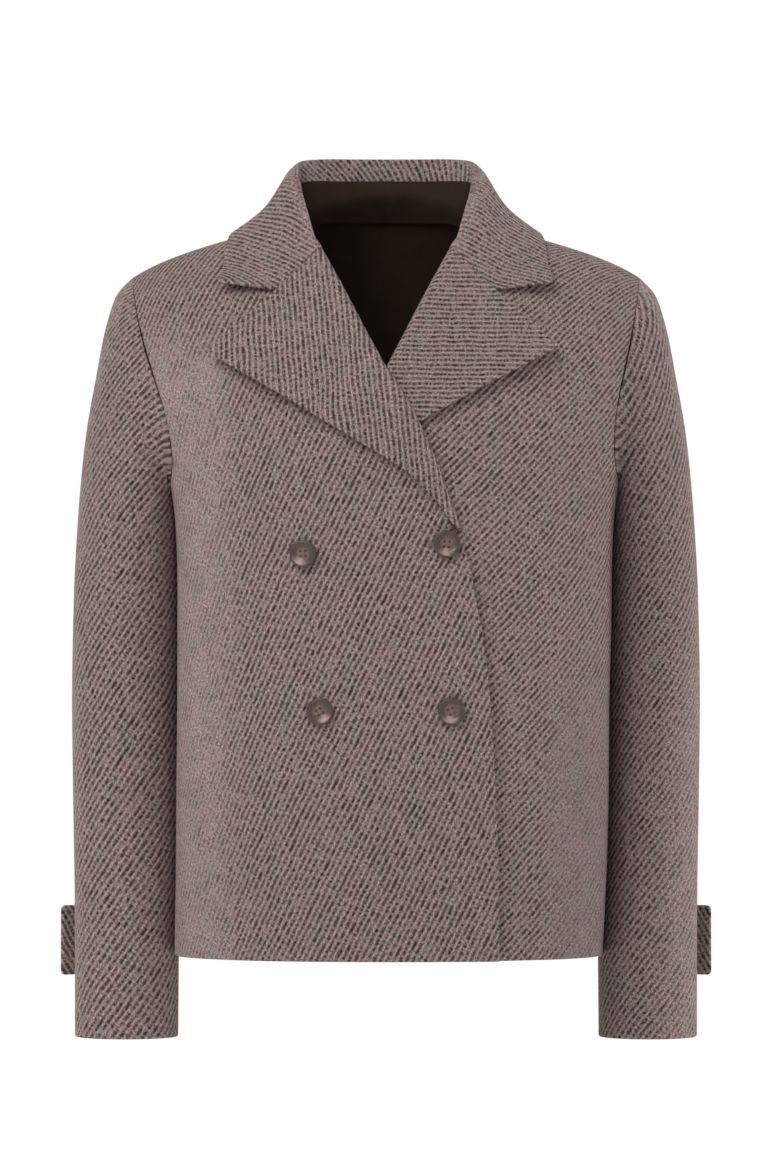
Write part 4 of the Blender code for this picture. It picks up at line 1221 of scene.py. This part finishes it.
    # Wool scatters light without a gloss, with a faint pale bloom from its loose fibres
    shader.inputs["Roughness"].default_value = 0.95
    shader.inputs["IOR"].default_value = 1.54
    shader.inputs["Specular IOR Level"].default_value = 0.2
    shader.inputs["Sheen Weight"].default_value = 0.30
    shader.inputs["Sheen Roughness"].default_value = 0.6
    shader.inputs["Sheen Tint"].default_value = opaque(cloth.crown)


def clouded(tree, shader, colour, size, shades, detail):
    """Base colour made lighter and darker by a cloudy pattern whose swells have a real size."""
    place = add(tree, "ShaderNodeTexCoord", {}, output=3)
    cloud = add(tree, "ShaderNodeTexNoise", {"Vector": place, "Scale": 1 / size, "Detail": detail})
    cloud = add(tree, "ShaderNodeMapRange", {0: cloud, **shades})
    colour = add(tree, "ShaderNodeMix", {0: 1.0, 6: colour, 7: cloud}, output=2, data_type="RGBA",
                 blend_type="MULTIPLY")
    tree.links.new(colour, shader.inputs["Base Color"])


def satin_lining(tree, shader, trim):
    """Dark viscose lining: a smooth fine satin, nearly black, with a weak soft shine."""
    clouded(tree, shader, opaque(trim.lining), CLOUD_SIZE, CLOUD, detail=2.0)
    shader.inputs["Roughness"].default_value = 0.75
    shader.inputs["IOR"].default_value = 1.53
    shader.inputs["Specular IOR Level"].default_value = 0.1


def polished_horn(tree, shader, trim):
    """Polished horn: dark brown-grey with a pale streak, a soft gloss and faint grain."""
    streak = add(tree, "ShaderNodeAttribute", {}, output=2, attribute_name="streak")
    colour = add(tree, "ShaderNodeMix", {0: streak, 6: opaque(trim.horn), 7: opaque(trim.pale_streak)},
                 output=2, data_type="RGBA")
    clouded(tree, shader, colour, GRAIN_SIZE, GRAIN, detail=3.0)
    shader.inputs["Roughness"].default_value = 0.34
    shader.inputs["IOR"].default_value = 1.56


def sewing_thread(tree, shader, trim):
    """Matt buttonhole thread with a fine twist."""
    clouded(tree, shader, opaque(trim.thread), TWIST_SIZE, TWIST, detail=1.0)
    shader.inputs["Roughness"].default_value = 0.8
    shader.inputs["IOR"].default_value = 1.54


def painted_board(tree, shader, stage):
    """Matt painted board: one pale colour without a gloss."""
    shader.inputs["Base Color"].default_value = opaque(stage.floor)
    shader.inputs["Roughness"].default_value = 0.9


def wool(context):
    """The wool twill with the scene's settings."""
    return material("brushed_wool_twill", wool_twill, context.scene.jacket_twill)


def satin(context):
    """The dark lining with the scene's settings."""
    return material("viscose_satin", satin_lining, context.scene.jacket_trim)


# Meshes

def steps(cells, start, end):
    """Parameters from 0 to 1: close together inside a rim at each end, even between."""
    middle = np.linspace(start, 1 - end, cells + 1)
    before = RIM_STEPS[:-1] * start if start else np.empty(0)
    after = 1 - RIM_STEPS[-2::-1] * end if end else np.empty(0)
    return np.concatenate((before, middle, after))


def sampled(cells, span):
    """Grid of parameters for a piece, and how full its wall is: 1 inside, a half round at its edges."""
    rim = [EDGE_ROUND / size if size else 0.0 for size in span]
    u, v = np.meshgrid(steps(cells[0], *rim[:2]), steps(cells[1], *rim[2:]), indexing="ij")
    inside = np.ones_like(u)
    for part, width in ((u, rim[0]), (1 - u, rim[1]), (v, rim[2]), (1 - v, rim[3])):
        if width:
            inside = np.minimum(inside, part / width)
    full = np.sqrt(1 - (1 - np.clip(inside, 0.0, 1.0)) ** 2)
    return u, v, np.maximum(full, EDGE_BLUNT)


def quads(index, tube):
    """Faces of a grid of vertex numbers, and the edges round its border."""
    corners = (index[:-1, :-1], index[1:, :-1], index[1:, 1:], index[:-1, 1:])
    face = np.stack(corners, axis=-1).reshape(-1, 4)
    if tube:
        rings = (index[:, 0], index[::-1, -1])
    else:
        rings = (np.concatenate((index[:, 0], index[-1, 1:], index[-2::-1, -1], index[0, -2::-1])),)
    return face, np.concatenate([np.stack((ring[1:], ring[:-1]), axis=-1) for ring in rings])


def grid_normals(points, sign, tube):
    """Unit normals of a grid of points, from differences along its lines."""
    wide = np.concatenate((points[-2:-1], points, points[1:2])) if tube else points
    across = np.gradient(wide, axis=0)
    across = across[1:-1] if tube else across
    return sign * unit(np.cross(across, np.gradient(points, axis=1)))


def mesh_of(name, points, face):
    """Mesh from points and faces."""
    mesh = bpy.data.meshes.new(name)
    mesh.from_pydata(points, [], face.tolist())
    return mesh


def keep(name, mesh, finishes):
    """Object for a mesh, smooth shaded, with its materials, in the scene."""
    for each in finishes:
        mesh.materials.append(each)
    mesh.shade_smooth()
    made = bpy.data.objects.new(name, mesh)
    bpy.context.scene.collection.objects.link(made)
    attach(made, "root")
    return made


def cloth_shell(name, outer, full, sign, thickness, weave, finishes,
                nap=0.0, painted_shade=0.0, lined=None, tube=False):
    """Cloth piece: a face on the grid and one behind it, drawn together at the edges to a round rim.

    weave holds the place across and along the ribs at each grid point, in metres. nap says how far the cloth
    is brushed there, its pale colour also a painted highlight on the sleeves and collar; the mask after nap
    says how much painted shade darkens the cloth, and lined says where its inner face has the second finish.
    """
    normal = grid_normals(outer, sign, tube)
    middle = outer - normal * (thickness / 2)
    reach = normal * (full[..., None] * thickness / 2)
    faces = (middle + reach, middle - reach)
    state = np.stack(np.broadcast_arrays(nap, painted_shade, full)[:2])
    if tube:
        faces = tuple(face[:-1] for face in faces)
        state = state[:, :-1]
    count = faces[0].size // 3
    index = np.arange(count).reshape(faces[0].shape[:2])
    if tube:
        index = np.concatenate((index, index[:1]))
    corner_index = np.arange(outer.size // 3).reshape(outer.shape[:2])
    face, edge = quads(index, tube)
    corner, corner_edge = quads(corner_index, tube)
    polygons = np.concatenate((face, face[:, ::-1] + count, np.hstack((edge, edge[:, ::-1] + count))))
    corners = np.concatenate((corner, corner[:, ::-1], np.hstack((corner_edge, corner_edge[:, ::-1]))))
    if sign < 0:
        polygons = polygons[:, ::-1]
        corners = corners[:, ::-1]
    mesh = mesh_of(name, np.concatenate([points.reshape(-1, 3) for points in faces]), polygons)
    uv = np.stack(np.broadcast_arrays(*weave), axis=-1).reshape(-1, 2)[corners]
    mesh.uv_layers.new(name="weave").data.foreach_set("uv", uv.astype(np.float32).ravel())
    for attribute, values in zip(("nap", "painted_shade"), state):
        both = np.tile(values.ravel(), 2).astype(np.float32)
        mesh.attributes.new(attribute, "FLOAT", "POINT").data.foreach_set("value", both)
    if lined is not None:
        slot = np.zeros(len(polygons), np.int32)
        inner = (lined[:-1, :-1] & lined[1:, 1:]).ravel()
        slot[len(face):2 * len(face)] = inner
        mesh.polygons.foreach_set("material_index", slot)
    return keep(name, mesh, finishes)


def ribbed(across, up, degrees, spread=1.0):
    """Place across and along ribs that run at an angle from the cross grain and are spread by a factor."""
    angle = np.radians(degrees)
    aside = across * np.sin(angle) - up * np.cos(angle)
    ahead = across * np.cos(angle) + up * np.sin(angle)
    return aside / spread, ahead / spread


def declared(node):
    """Hides the solid that a cloth piece stands for."""
    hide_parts(node)


def cord_mesh(path, closed, radius, cells, up):
    """Points and faces of a cord: a circle carried along a path, square to it, measured from the up axis."""
    ahead = np.gradient(path, axis=0)
    if closed:
        ahead = np.roll(path, -1, axis=0) - np.roll(path, 1, axis=0)
    side = unit(np.cross(ahead, up))
    lift = unit(np.cross(side, ahead))
    angle = np.arange(cells) / cells * TURN
    ring = side[:, None] * np.cos(angle)[:, None] + lift[:, None] * np.sin(angle)[:, None]
    points = path[:, None] + ring * radius
    index = np.arange(points.size // 3).reshape(points.shape[:2])
    index = np.concatenate((index, index[:, :1]), axis=1)
    if closed:
        index = np.concatenate((index, index[:1]))
    return points.reshape(-1, 3), quads(index, closed)[0]


def joined(parts):
    """Points and faces of several meshes as those of one."""
    start = np.cumsum([0] + [len(points) for points, _ in parts])
    faces = [face + before for (_, face), before in zip(parts, start)]
    return np.concatenate([points for points, _ in parts]), np.concatenate(faces)


def hole_place(number, hole):
    """Middle of a thread hole on its button, across and up."""
    turned = BUTTON_TURNED[number] + math.pi / 4 + hole * QUARTER
    return HOLE_FAR * math.cos(turned), HOLE_FAR * math.sin(turned)


# Operators

class JACKET_OT_fronts(bpy.types.Operator):
    """Both fronts, the right one lapped over the left"""
    bl_idname = "jacket.fronts"
    bl_label = "Fronts"

    def execute(self, context):
        """Each front is the body's form from its inner edge to the side and armhole, with creases."""
        finishes = (wool(context), satin(context))
        for hand, side in SIDE_NAME.items():
            u, v, full = sampled(FRONT_CELLS, FRONT_SPAN)
            turn, level = front_place(hand, u, v)
            outer = front_surface(hand, turn, level)
            weave = ribbed(*laid_flat(outer, turn, level), RIB_FRONT[hand])
            x = outer[..., 0]
            z = outer[..., 2]
            lined = (u > FRONT_FACING) & (v > FRONT_HEM)
            # The front gets painted shade towards the hem and low on its left side
            made = cloth_shell(f"twill_front_{side}", outer, full, hand, WALL, weave, finishes,
                               nap=front_nap(x, z), painted_shade=front_painted_shade(x, z), lined=lined)
            declared(f"front_{side}")
        return {"FINISHED"}


class JACKET_OT_back(bpy.types.Operator):
    """The back, cut in one"""
    bl_idname = "jacket.back"
    bl_label = "Back"

    def execute(self, context):
        """The back is the body's form from one side to the other and up to the neckline, with creases."""
        finishes = (wool(context), satin(context))
        u, v, full = sampled(BACK_CELLS, BACK_SPAN)
        turn, level = back_place(u, v)
        outer = back_surface(turn, level)
        weave = ribbed(*laid_flat(outer, turn, level), RIB_BACK)
        made = cloth_shell("twill_back", outer, full, -1, WALL, weave, finishes, lined=v > BACK_HEM)
        declared("back")
        return {"FINISHED"}


class JACKET_OT_sleeves(bpy.types.Operator):
    """Both sleeves, hanging beside the body"""
    bl_idname = "jacket.sleeves"
    bl_label = "Sleeves"

    def execute(self, context):
        """Each sleeve is a tube of rings from the armhole to the cuff, with creases at the elbow."""
        finishes = (wool(context), satin(context))
        for hand, side in SIDE_NAME.items():
            u, v, full = sampled(SLEEVE_CELLS, SLEEVE_SPAN)
            u = u - 0.5
            points = sleeve_points(hand, u, v)
            around = u * TURN * SLEEVE_ROUND
            drop = LEFT_SLEEVE_DROP if hand == LEFT else 0.0
            depth = LEFT_SLEEVE_DEPTH if hand == LEFT else 1.0
            lift = depth * creases(SLEEVE_CREASES, around, points[..., 2] + drop)
            outer = points + grid_normals(points, hand, True) * lift[..., None]
            weave = ribbed(*sleeve_flat(hand, points, u), RIB_SLEEVE, SLEEVE_SPREAD[hand])
            # The sleeve gets painted shade towards its inner line, and its brushed outer strip is also a
            # painted highlight
            made = cloth_shell(f"twill_sleeve_{side}", outer, full, hand, WALL, weave, finishes,
                               nap=sleeve_nap_and_highlight(hand, u, v), painted_shade=sleeve_painted_shade(hand, u),
                               lined=v < CUFF_HEM, tube=True)
            declared(f"sleeve_{side}")
        return {"FINISHED"}


class JACKET_OT_lapels(bpy.types.Operator):
    """Both lapels, turned back from the roll line"""
    bl_idname = "jacket.lapels"
    bl_label = "Lapels"

    def execute(self, context):
        """Each lapel goes round a fold at the roll line and then lies on its front out to its edge."""
        finishes = (wool(context),)
        for hand, side in SIDE_NAME.items():
            u, v, full = sampled(LAPEL_CELLS[hand], LAPEL_SPAN)
            x, z, height, flat_x, flat_z = lapel_place(hand, u, v * LAPEL_SHOWN[hand])
            points, normal = front_at(hand, x, z)
            outer = points + normal * height[..., None]
            weave = ribbed(flat_x, flat_z, RIB_LAPEL[hand], LAPEL_SPREAD[hand])
            made = cloth_shell(f"twill_lapel_{side}", outer, full, -hand, DOUBLE, weave, finishes)
            declared(f"lapel_{side}")
        return {"FINISHED"}


class JACKET_OT_collar(bpy.types.Operator):
    """The collar, standing round the neck and turned down"""
    bl_idname = "jacket.collar"
    bl_label = "Collar"

    def execute(self, context):
        """The collar is a section of stand, fold and fall carried round the neck."""
        u, v, full = sampled(COLLAR_CELLS, COLLAR_SPAN)
        outer = collar_points(u, v)
        across, up, from_fold = collar_flat(outer, v)
        weave = ribbed(across, up, RIB_COLLAR)
        # Brushed strip along the fold beside the neck, its pale colour also a painted highlight
        beside_neck = ease((np.abs(u * 2 - 1) - COLLAR_STRIP_START) / COLLAR_STRIP_RUN)
        nap = COLLAR_NAP_AND_HIGHLIGHT * beside_neck * (1 - ease(from_fold / COLLAR_STRIP_WIDTH))
        finishes = (wool(context),)
        made = cloth_shell("twill_collar", outer, full, 1, DOUBLE, weave, finishes, nap=nap)
        declared("collar")
        return {"FINISHED"}


class JACKET_OT_straps(bpy.types.Operator):
    """Both cuff straps, sewn to the back of the sleeves"""
    bl_idname = "jacket.straps"
    bl_label = "Cuff straps"

    def execute(self, context):
        """Each strap is a double band along the back of its sleeve that leaves it straight."""
        finishes = (wool(context),)
        for hand, side in SIDE_NAME.items():
            u, v, full = sampled(STRAP_CELLS, STRAP_SPAN)
            outer = strap_points(hand, u, v)
            weave = ribbed(-hand * run_lengths(outer, 0), outer[..., 2], RIB_STRAP)
            made = cloth_shell(f"twill_cuff_strap_{side}", outer, full, -hand, STRAP_WALL, weave, finishes)
            declared(f"cuff_strap_{side}")
        return {"FINISHED"}


class JACKET_OT_linings(bpy.types.Operator):
    """The dark lining and neck facing that show inside the neck"""
    bl_idname = "jacket.linings"
    bl_label = "Linings"

    def execute(self, context):
        """The lining is the back's form moved inwards; the facing curves up on to the collar's stand."""
        finishes = (satin(context),)
        u, v, full = sampled(LINING_CELLS, LINING_SPAN)
        across = LINING_ACROSS[0] + (LINING_ACROSS[1] - LINING_ACROSS[0]) * u
        up = LINING_UP[0] + (LINING_UP[1] - LINING_UP[0]) * v
        turn, level = back_place(across, up)
        inwards = WALL + LINING_GAP + LINING_WALL
        outer = back_surface(turn, level) - body_normal(BACK, turn, level) * inwards
        weave = ribbed(*laid_flat(outer, turn, level), RIB_FACING)
        made = cloth_shell("satin_lining_back", outer, full, 1, LINING_WALL, weave, finishes)
        declared("lining_back")
        u, v, full = sampled(FACING_CELLS, FACING_SPAN)
        outer = neck_facing_points(u, v)
        weave = ribbed(run_lengths(outer, 0), run_lengths(outer, 1), RIB_FACING)
        made = cloth_shell("satin_neck_facing", outer, full, 1, LINING_WALL, weave, finishes)
        declared("neck_facing")
        return {"FINISHED"}


class JACKET_OT_buttons(bpy.types.Operator):
    """Four horn buttons, their thread and the buttonholes"""
    bl_idname = "jacket.buttons"
    bl_label = "Buttons"

    def execute(self, context):
        """Each button is a turned profile with four wells, sewn on with crossed thread over a shank."""
        trim = context.scene.jacket_trim
        horn = material("polished_horn", polished_horn, trim)
        thread = material("sewing_thread", sewing_thread, trim)
        for number, (x, z) in enumerate(zip(BUTTON_PLACES["x"], BUTTON_PLACES["z"])):
            point, normal = front_at(RIGHT, np.array([x]), np.array([z]))
            normal = normal[0]
            right = unit(np.array((1.0, 0.0, 0.0)) - normal * normal[0])
            up = np.cross(normal, right)
            axes = np.array((right, up, normal))
            place = point[0] + normal * BUTTON_STAND
            self.button(number, place, axes, horn)
            self.thread(number, place, axes, thread)
            if x > 0:
                self.buttonhole(number, point[0], axes, thread)
        return {"FINISHED"}

    def button(self, number, place, axes, horn):
        """Button: a profile turned about its axis, its top lowered in a round well at each thread hole."""
        known = np.linspace(0.0, 1.0, len(BUTTON_PROFILE["radius"]))
        path, angle = np.meshgrid(np.linspace(0.0, 1.0, BUTTON_CELLS[1] + 1),
                                  np.arange(BUTTON_CELLS[0]) / BUTTON_CELLS[0] * TURN, indexing="ij")
        radius = smooth(known, BUTTON_PROFILE["radius"], path)
        height = smooth(known, BUTTON_PROFILE["height"], path)
        x = radius * np.cos(angle)
        y = radius * np.sin(angle)
        on_top = path < 0.5
        for hole in range(HOLES):
            hole_x, hole_y = hole_place(number, hole)
            away = np.hypot(x - hole_x, y - hole_y) / HOLE_RADIUS
            height = height - HOLE_DEPTH * ease((1 + HOLE_EDGE - away) / (2 * HOLE_EDGE)) * on_top
        points = stacked(x, y, height) @ axes + place
        index = np.arange(points.size // 3).reshape(points.shape[:2])
        face = quads(np.concatenate((index, index[:, :1]), axis=1), False)[0][:, ::-1]
        mesh = mesh_of(f"horn_button_{number + 1}", points.reshape(-1, 3), face)
        swing = np.abs(np.mod(angle - BUTTON_STREAK[number] + math.pi, TURN) - math.pi)
        outwards = ease((radius - STREAK_START) / STREAK_GROW)
        outwards = outwards * (1 - ease((radius - STREAK_END) / STREAK_FADE))
        # Paler towards its middle too
        middle = STREAK_MIDDLE * (1 - ease(radius / STREAK_END))
        streak = np.maximum(np.exp(-(swing / STREAK_SPREAD) ** 2) * outwards, middle) * on_top
        streak = streak.astype(np.float32).ravel()
        mesh.attributes.new("streak", "FLOAT", "POINT").data.foreach_set("value", streak)
        work = bmesh.new()
        work.from_mesh(mesh)
        bmesh.ops.remove_doubles(work, verts=work.verts[:], dist=WELD)
        work.to_mesh(mesh)
        work.free()
        made = keep(f"horn_button_{number + 1}", mesh, (horn,))
        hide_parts(f"button_{number + 1}")

    def thread(self, number, place, axes, thread):
        """Thread: two crossed cords from hole to hole, and a short shank under the button."""
        part = np.linspace(-1.0, 1.0, THREAD_CELLS[1] + 1)
        sink = (HOLE_DEPTH * THREAD_SINK + THREAD_RISE) * np.abs(part) ** THREAD_BEND
        cords = []
        for bar in range(HOLES // 2):
            hole_x, hole_y = hole_place(number, bar)
            rise = BUTTON_PROFILE["height"][0] + THREAD_RISE * (1 + THREAD_CROSS * bar) - sink
            path = stacked(part * hole_x, part * hole_y, rise)
            cords.append(cord_mesh(path, False, THREAD_RADIUS, THREAD_CELLS[0], UP))
        shank = np.outer((-BUTTON_STAND, -BUTTON_STAND / 2, SHANK_TOP), UP)
        cords.append(cord_mesh(shank, False, SHANK_RADIUS, THREAD_CELLS[0] * 2, ACROSS_SHANK))
        points, face = joined(cords)
        name = f"button_thread_{number + 1}"
        keep(name, mesh_of(name, points @ axes + place, face), (thread,))

    def buttonhole(self, number, place, axes, thread):
        """Buttonhole: a cord round a long narrow slot, lying level on the cloth under its button."""
        part = np.arange(CORD_CELLS[1]) / CORD_CELLS[1] * TURN
        x = signed_power(np.cos(part), BUTTONHOLE_ROUND) * BUTTONHOLE_HALF + BUTTONHOLE_SHIFT
        y = signed_power(np.sin(part), BUTTONHOLE_ROUND) * BUTTONHOLE_GAP
        points, face = cord_mesh(stacked(x, y, BUTTONHOLE_RISE), True, BUTTONHOLE_CORD, CORD_CELLS[0], UP)
        name = f"buttonhole_{number + 1}"
        keep(name, mesh_of(name, points @ axes + place, face), (thread,))


class JACKET_OT_stage(bpy.types.Operator):
    """Pale floor, soft studio light and the camera"""
    bl_idname = "jacket.stage"
    bl_label = "Stage"

    def execute(self, context):
        """The camera stands level in front; the main light is large, high and to the left."""
        stage = context.scene.jacket_stage
        scene = context.scene
        scene.view_settings.view_transform = "Standard"
        self.floor(stage)
        self.surroundings(scene, stage)
        self.light("key_light", KEY_PLACE, KEY_SIZE, stage.key_power)
        self.light("fill_light", FILL_PLACE, FILL_SIZE, stage.fill_power)
        self.light("rear_light", REAR_PLACE, REAR_SIZE, stage.rear_power)
        lens = bpy.data.cameras.new("camera")
        lens.sensor_fit = "AUTO"
        lens.sensor_width = 36.0
        lens.lens = lens.sensor_width * stage.distance / stage.view_height
        camera = bpy.data.objects.new("camera", lens)
        camera.location = (CAMERA_X, -stage.distance, CAMERA_Z)
        camera.rotation_euler = (QUARTER, 0.0, 0.0)
        scene.collection.objects.link(camera)
        scene.camera = camera
        return {"FINISHED"}

    def floor(self, stage):
        """Floor: a flat square far below the hem."""
        across = FLOOR_HALF * np.array((-1, 1, 1, -1))
        deep = FLOOR_HALF * np.array((-1, -1, 1, 1))
        mesh = mesh_of("floor", stacked(across, deep, FLOOR_Z), np.arange(4)[None])
        mesh.materials.append(material("painted_floor", painted_board, stage))
        board = bpy.data.objects.new("floor", mesh)
        bpy.context.scene.collection.objects.link(board)

    def surroundings(self, scene, stage):
        """White paper all round to the eye, and a dimmer even light from it."""
        world = bpy.data.worlds.new("studio")
        world.use_nodes = True
        scene.world = world
        tree = world.node_tree
        seen = add(tree, "ShaderNodeLightPath", {})
        paper = add(tree, "ShaderNodeBackground", {"Color": PAPER, "Strength": 1.0})
        dim = add(tree, "ShaderNodeBackground", {"Color": AMBIENT_TINT, "Strength": stage.ambient})
        mixed = add(tree, "ShaderNodeMixShader", {0: seen, 1: dim, 2: paper})
        tree.links.new(mixed, tree.nodes["World Output"].inputs["Surface"])

    def light(self, name, place, size, power):
        """Round soft light turned to the middle of the jacket."""
        lamp = bpy.data.lights.new(name, "AREA")
        lamp.shape = "DISK"
        lamp.size = size
        lamp.energy = power
        made = bpy.data.objects.new(name, lamp)
        made.location = place
        aim = Vector((0.0, 0.0, CAMERA_Z)) - Vector(place)
        made.rotation_euler = aim.to_track_quat("-Z", "Y").to_euler()
        bpy.context.scene.collection.objects.link(made)


class JACKET_PT_panel(bpy.types.Panel):
    """Sidebar panel of the jacket"""
    bl_idname = "JACKET_PT_panel"
    bl_label = "Jacket"
    bl_space_type = "VIEW_3D"
    bl_region_type = "UI"
    bl_category = "Jacket"

    def draw(self, context):
        """Settings, then one button for each group of pieces."""
        for group in (context.scene.jacket_twill, context.scene.jacket_trim, context.scene.jacket_stage):
            for name in group.__annotations__:
                self.layout.prop(group, name)
        for operator in OPERATORS:
            self.layout.operator(operator.bl_idname)


OPERATORS = (
    JACKET_OT_fronts,
    JACKET_OT_back,
    JACKET_OT_sleeves,
    JACKET_OT_lapels,
    JACKET_OT_collar,
    JACKET_OT_straps,
    JACKET_OT_linings,
    JACKET_OT_buttons,
    JACKET_OT_stage,
)
CLASSES = (TwillSettings, TrimSettings, StageSettings, *OPERATORS, JACKET_PT_panel)


def register():
    """Make the classes and settings known to Blender."""
    for kind in CLASSES:
        bpy.utils.register_class(kind)
    bpy.types.Scene.jacket_twill = PointerProperty(type=TwillSettings)
    bpy.types.Scene.jacket_trim = PointerProperty(type=TrimSettings)
    bpy.types.Scene.jacket_stage = PointerProperty(type=StageSettings)


def unregister():
    """Take the classes and settings away again."""
    del bpy.types.Scene.jacket_stage
    del bpy.types.Scene.jacket_trim
    del bpy.types.Scene.jacket_twill
    for kind in reversed(CLASSES):
        bpy.utils.unregister_class(kind)


def main():
    """Build the jacket and its stage."""
    register()
    bpy.ops.jacket.fronts()
    bpy.ops.jacket.back()
    bpy.ops.jacket.sleeves()
    bpy.ops.jacket.lapels()
    bpy.ops.jacket.collar()
    bpy.ops.jacket.straps()
    bpy.ops.jacket.linings()
    bpy.ops.jacket.buttons()
    bpy.ops.jacket.stage()


if __name__ == "__main__":
    main()
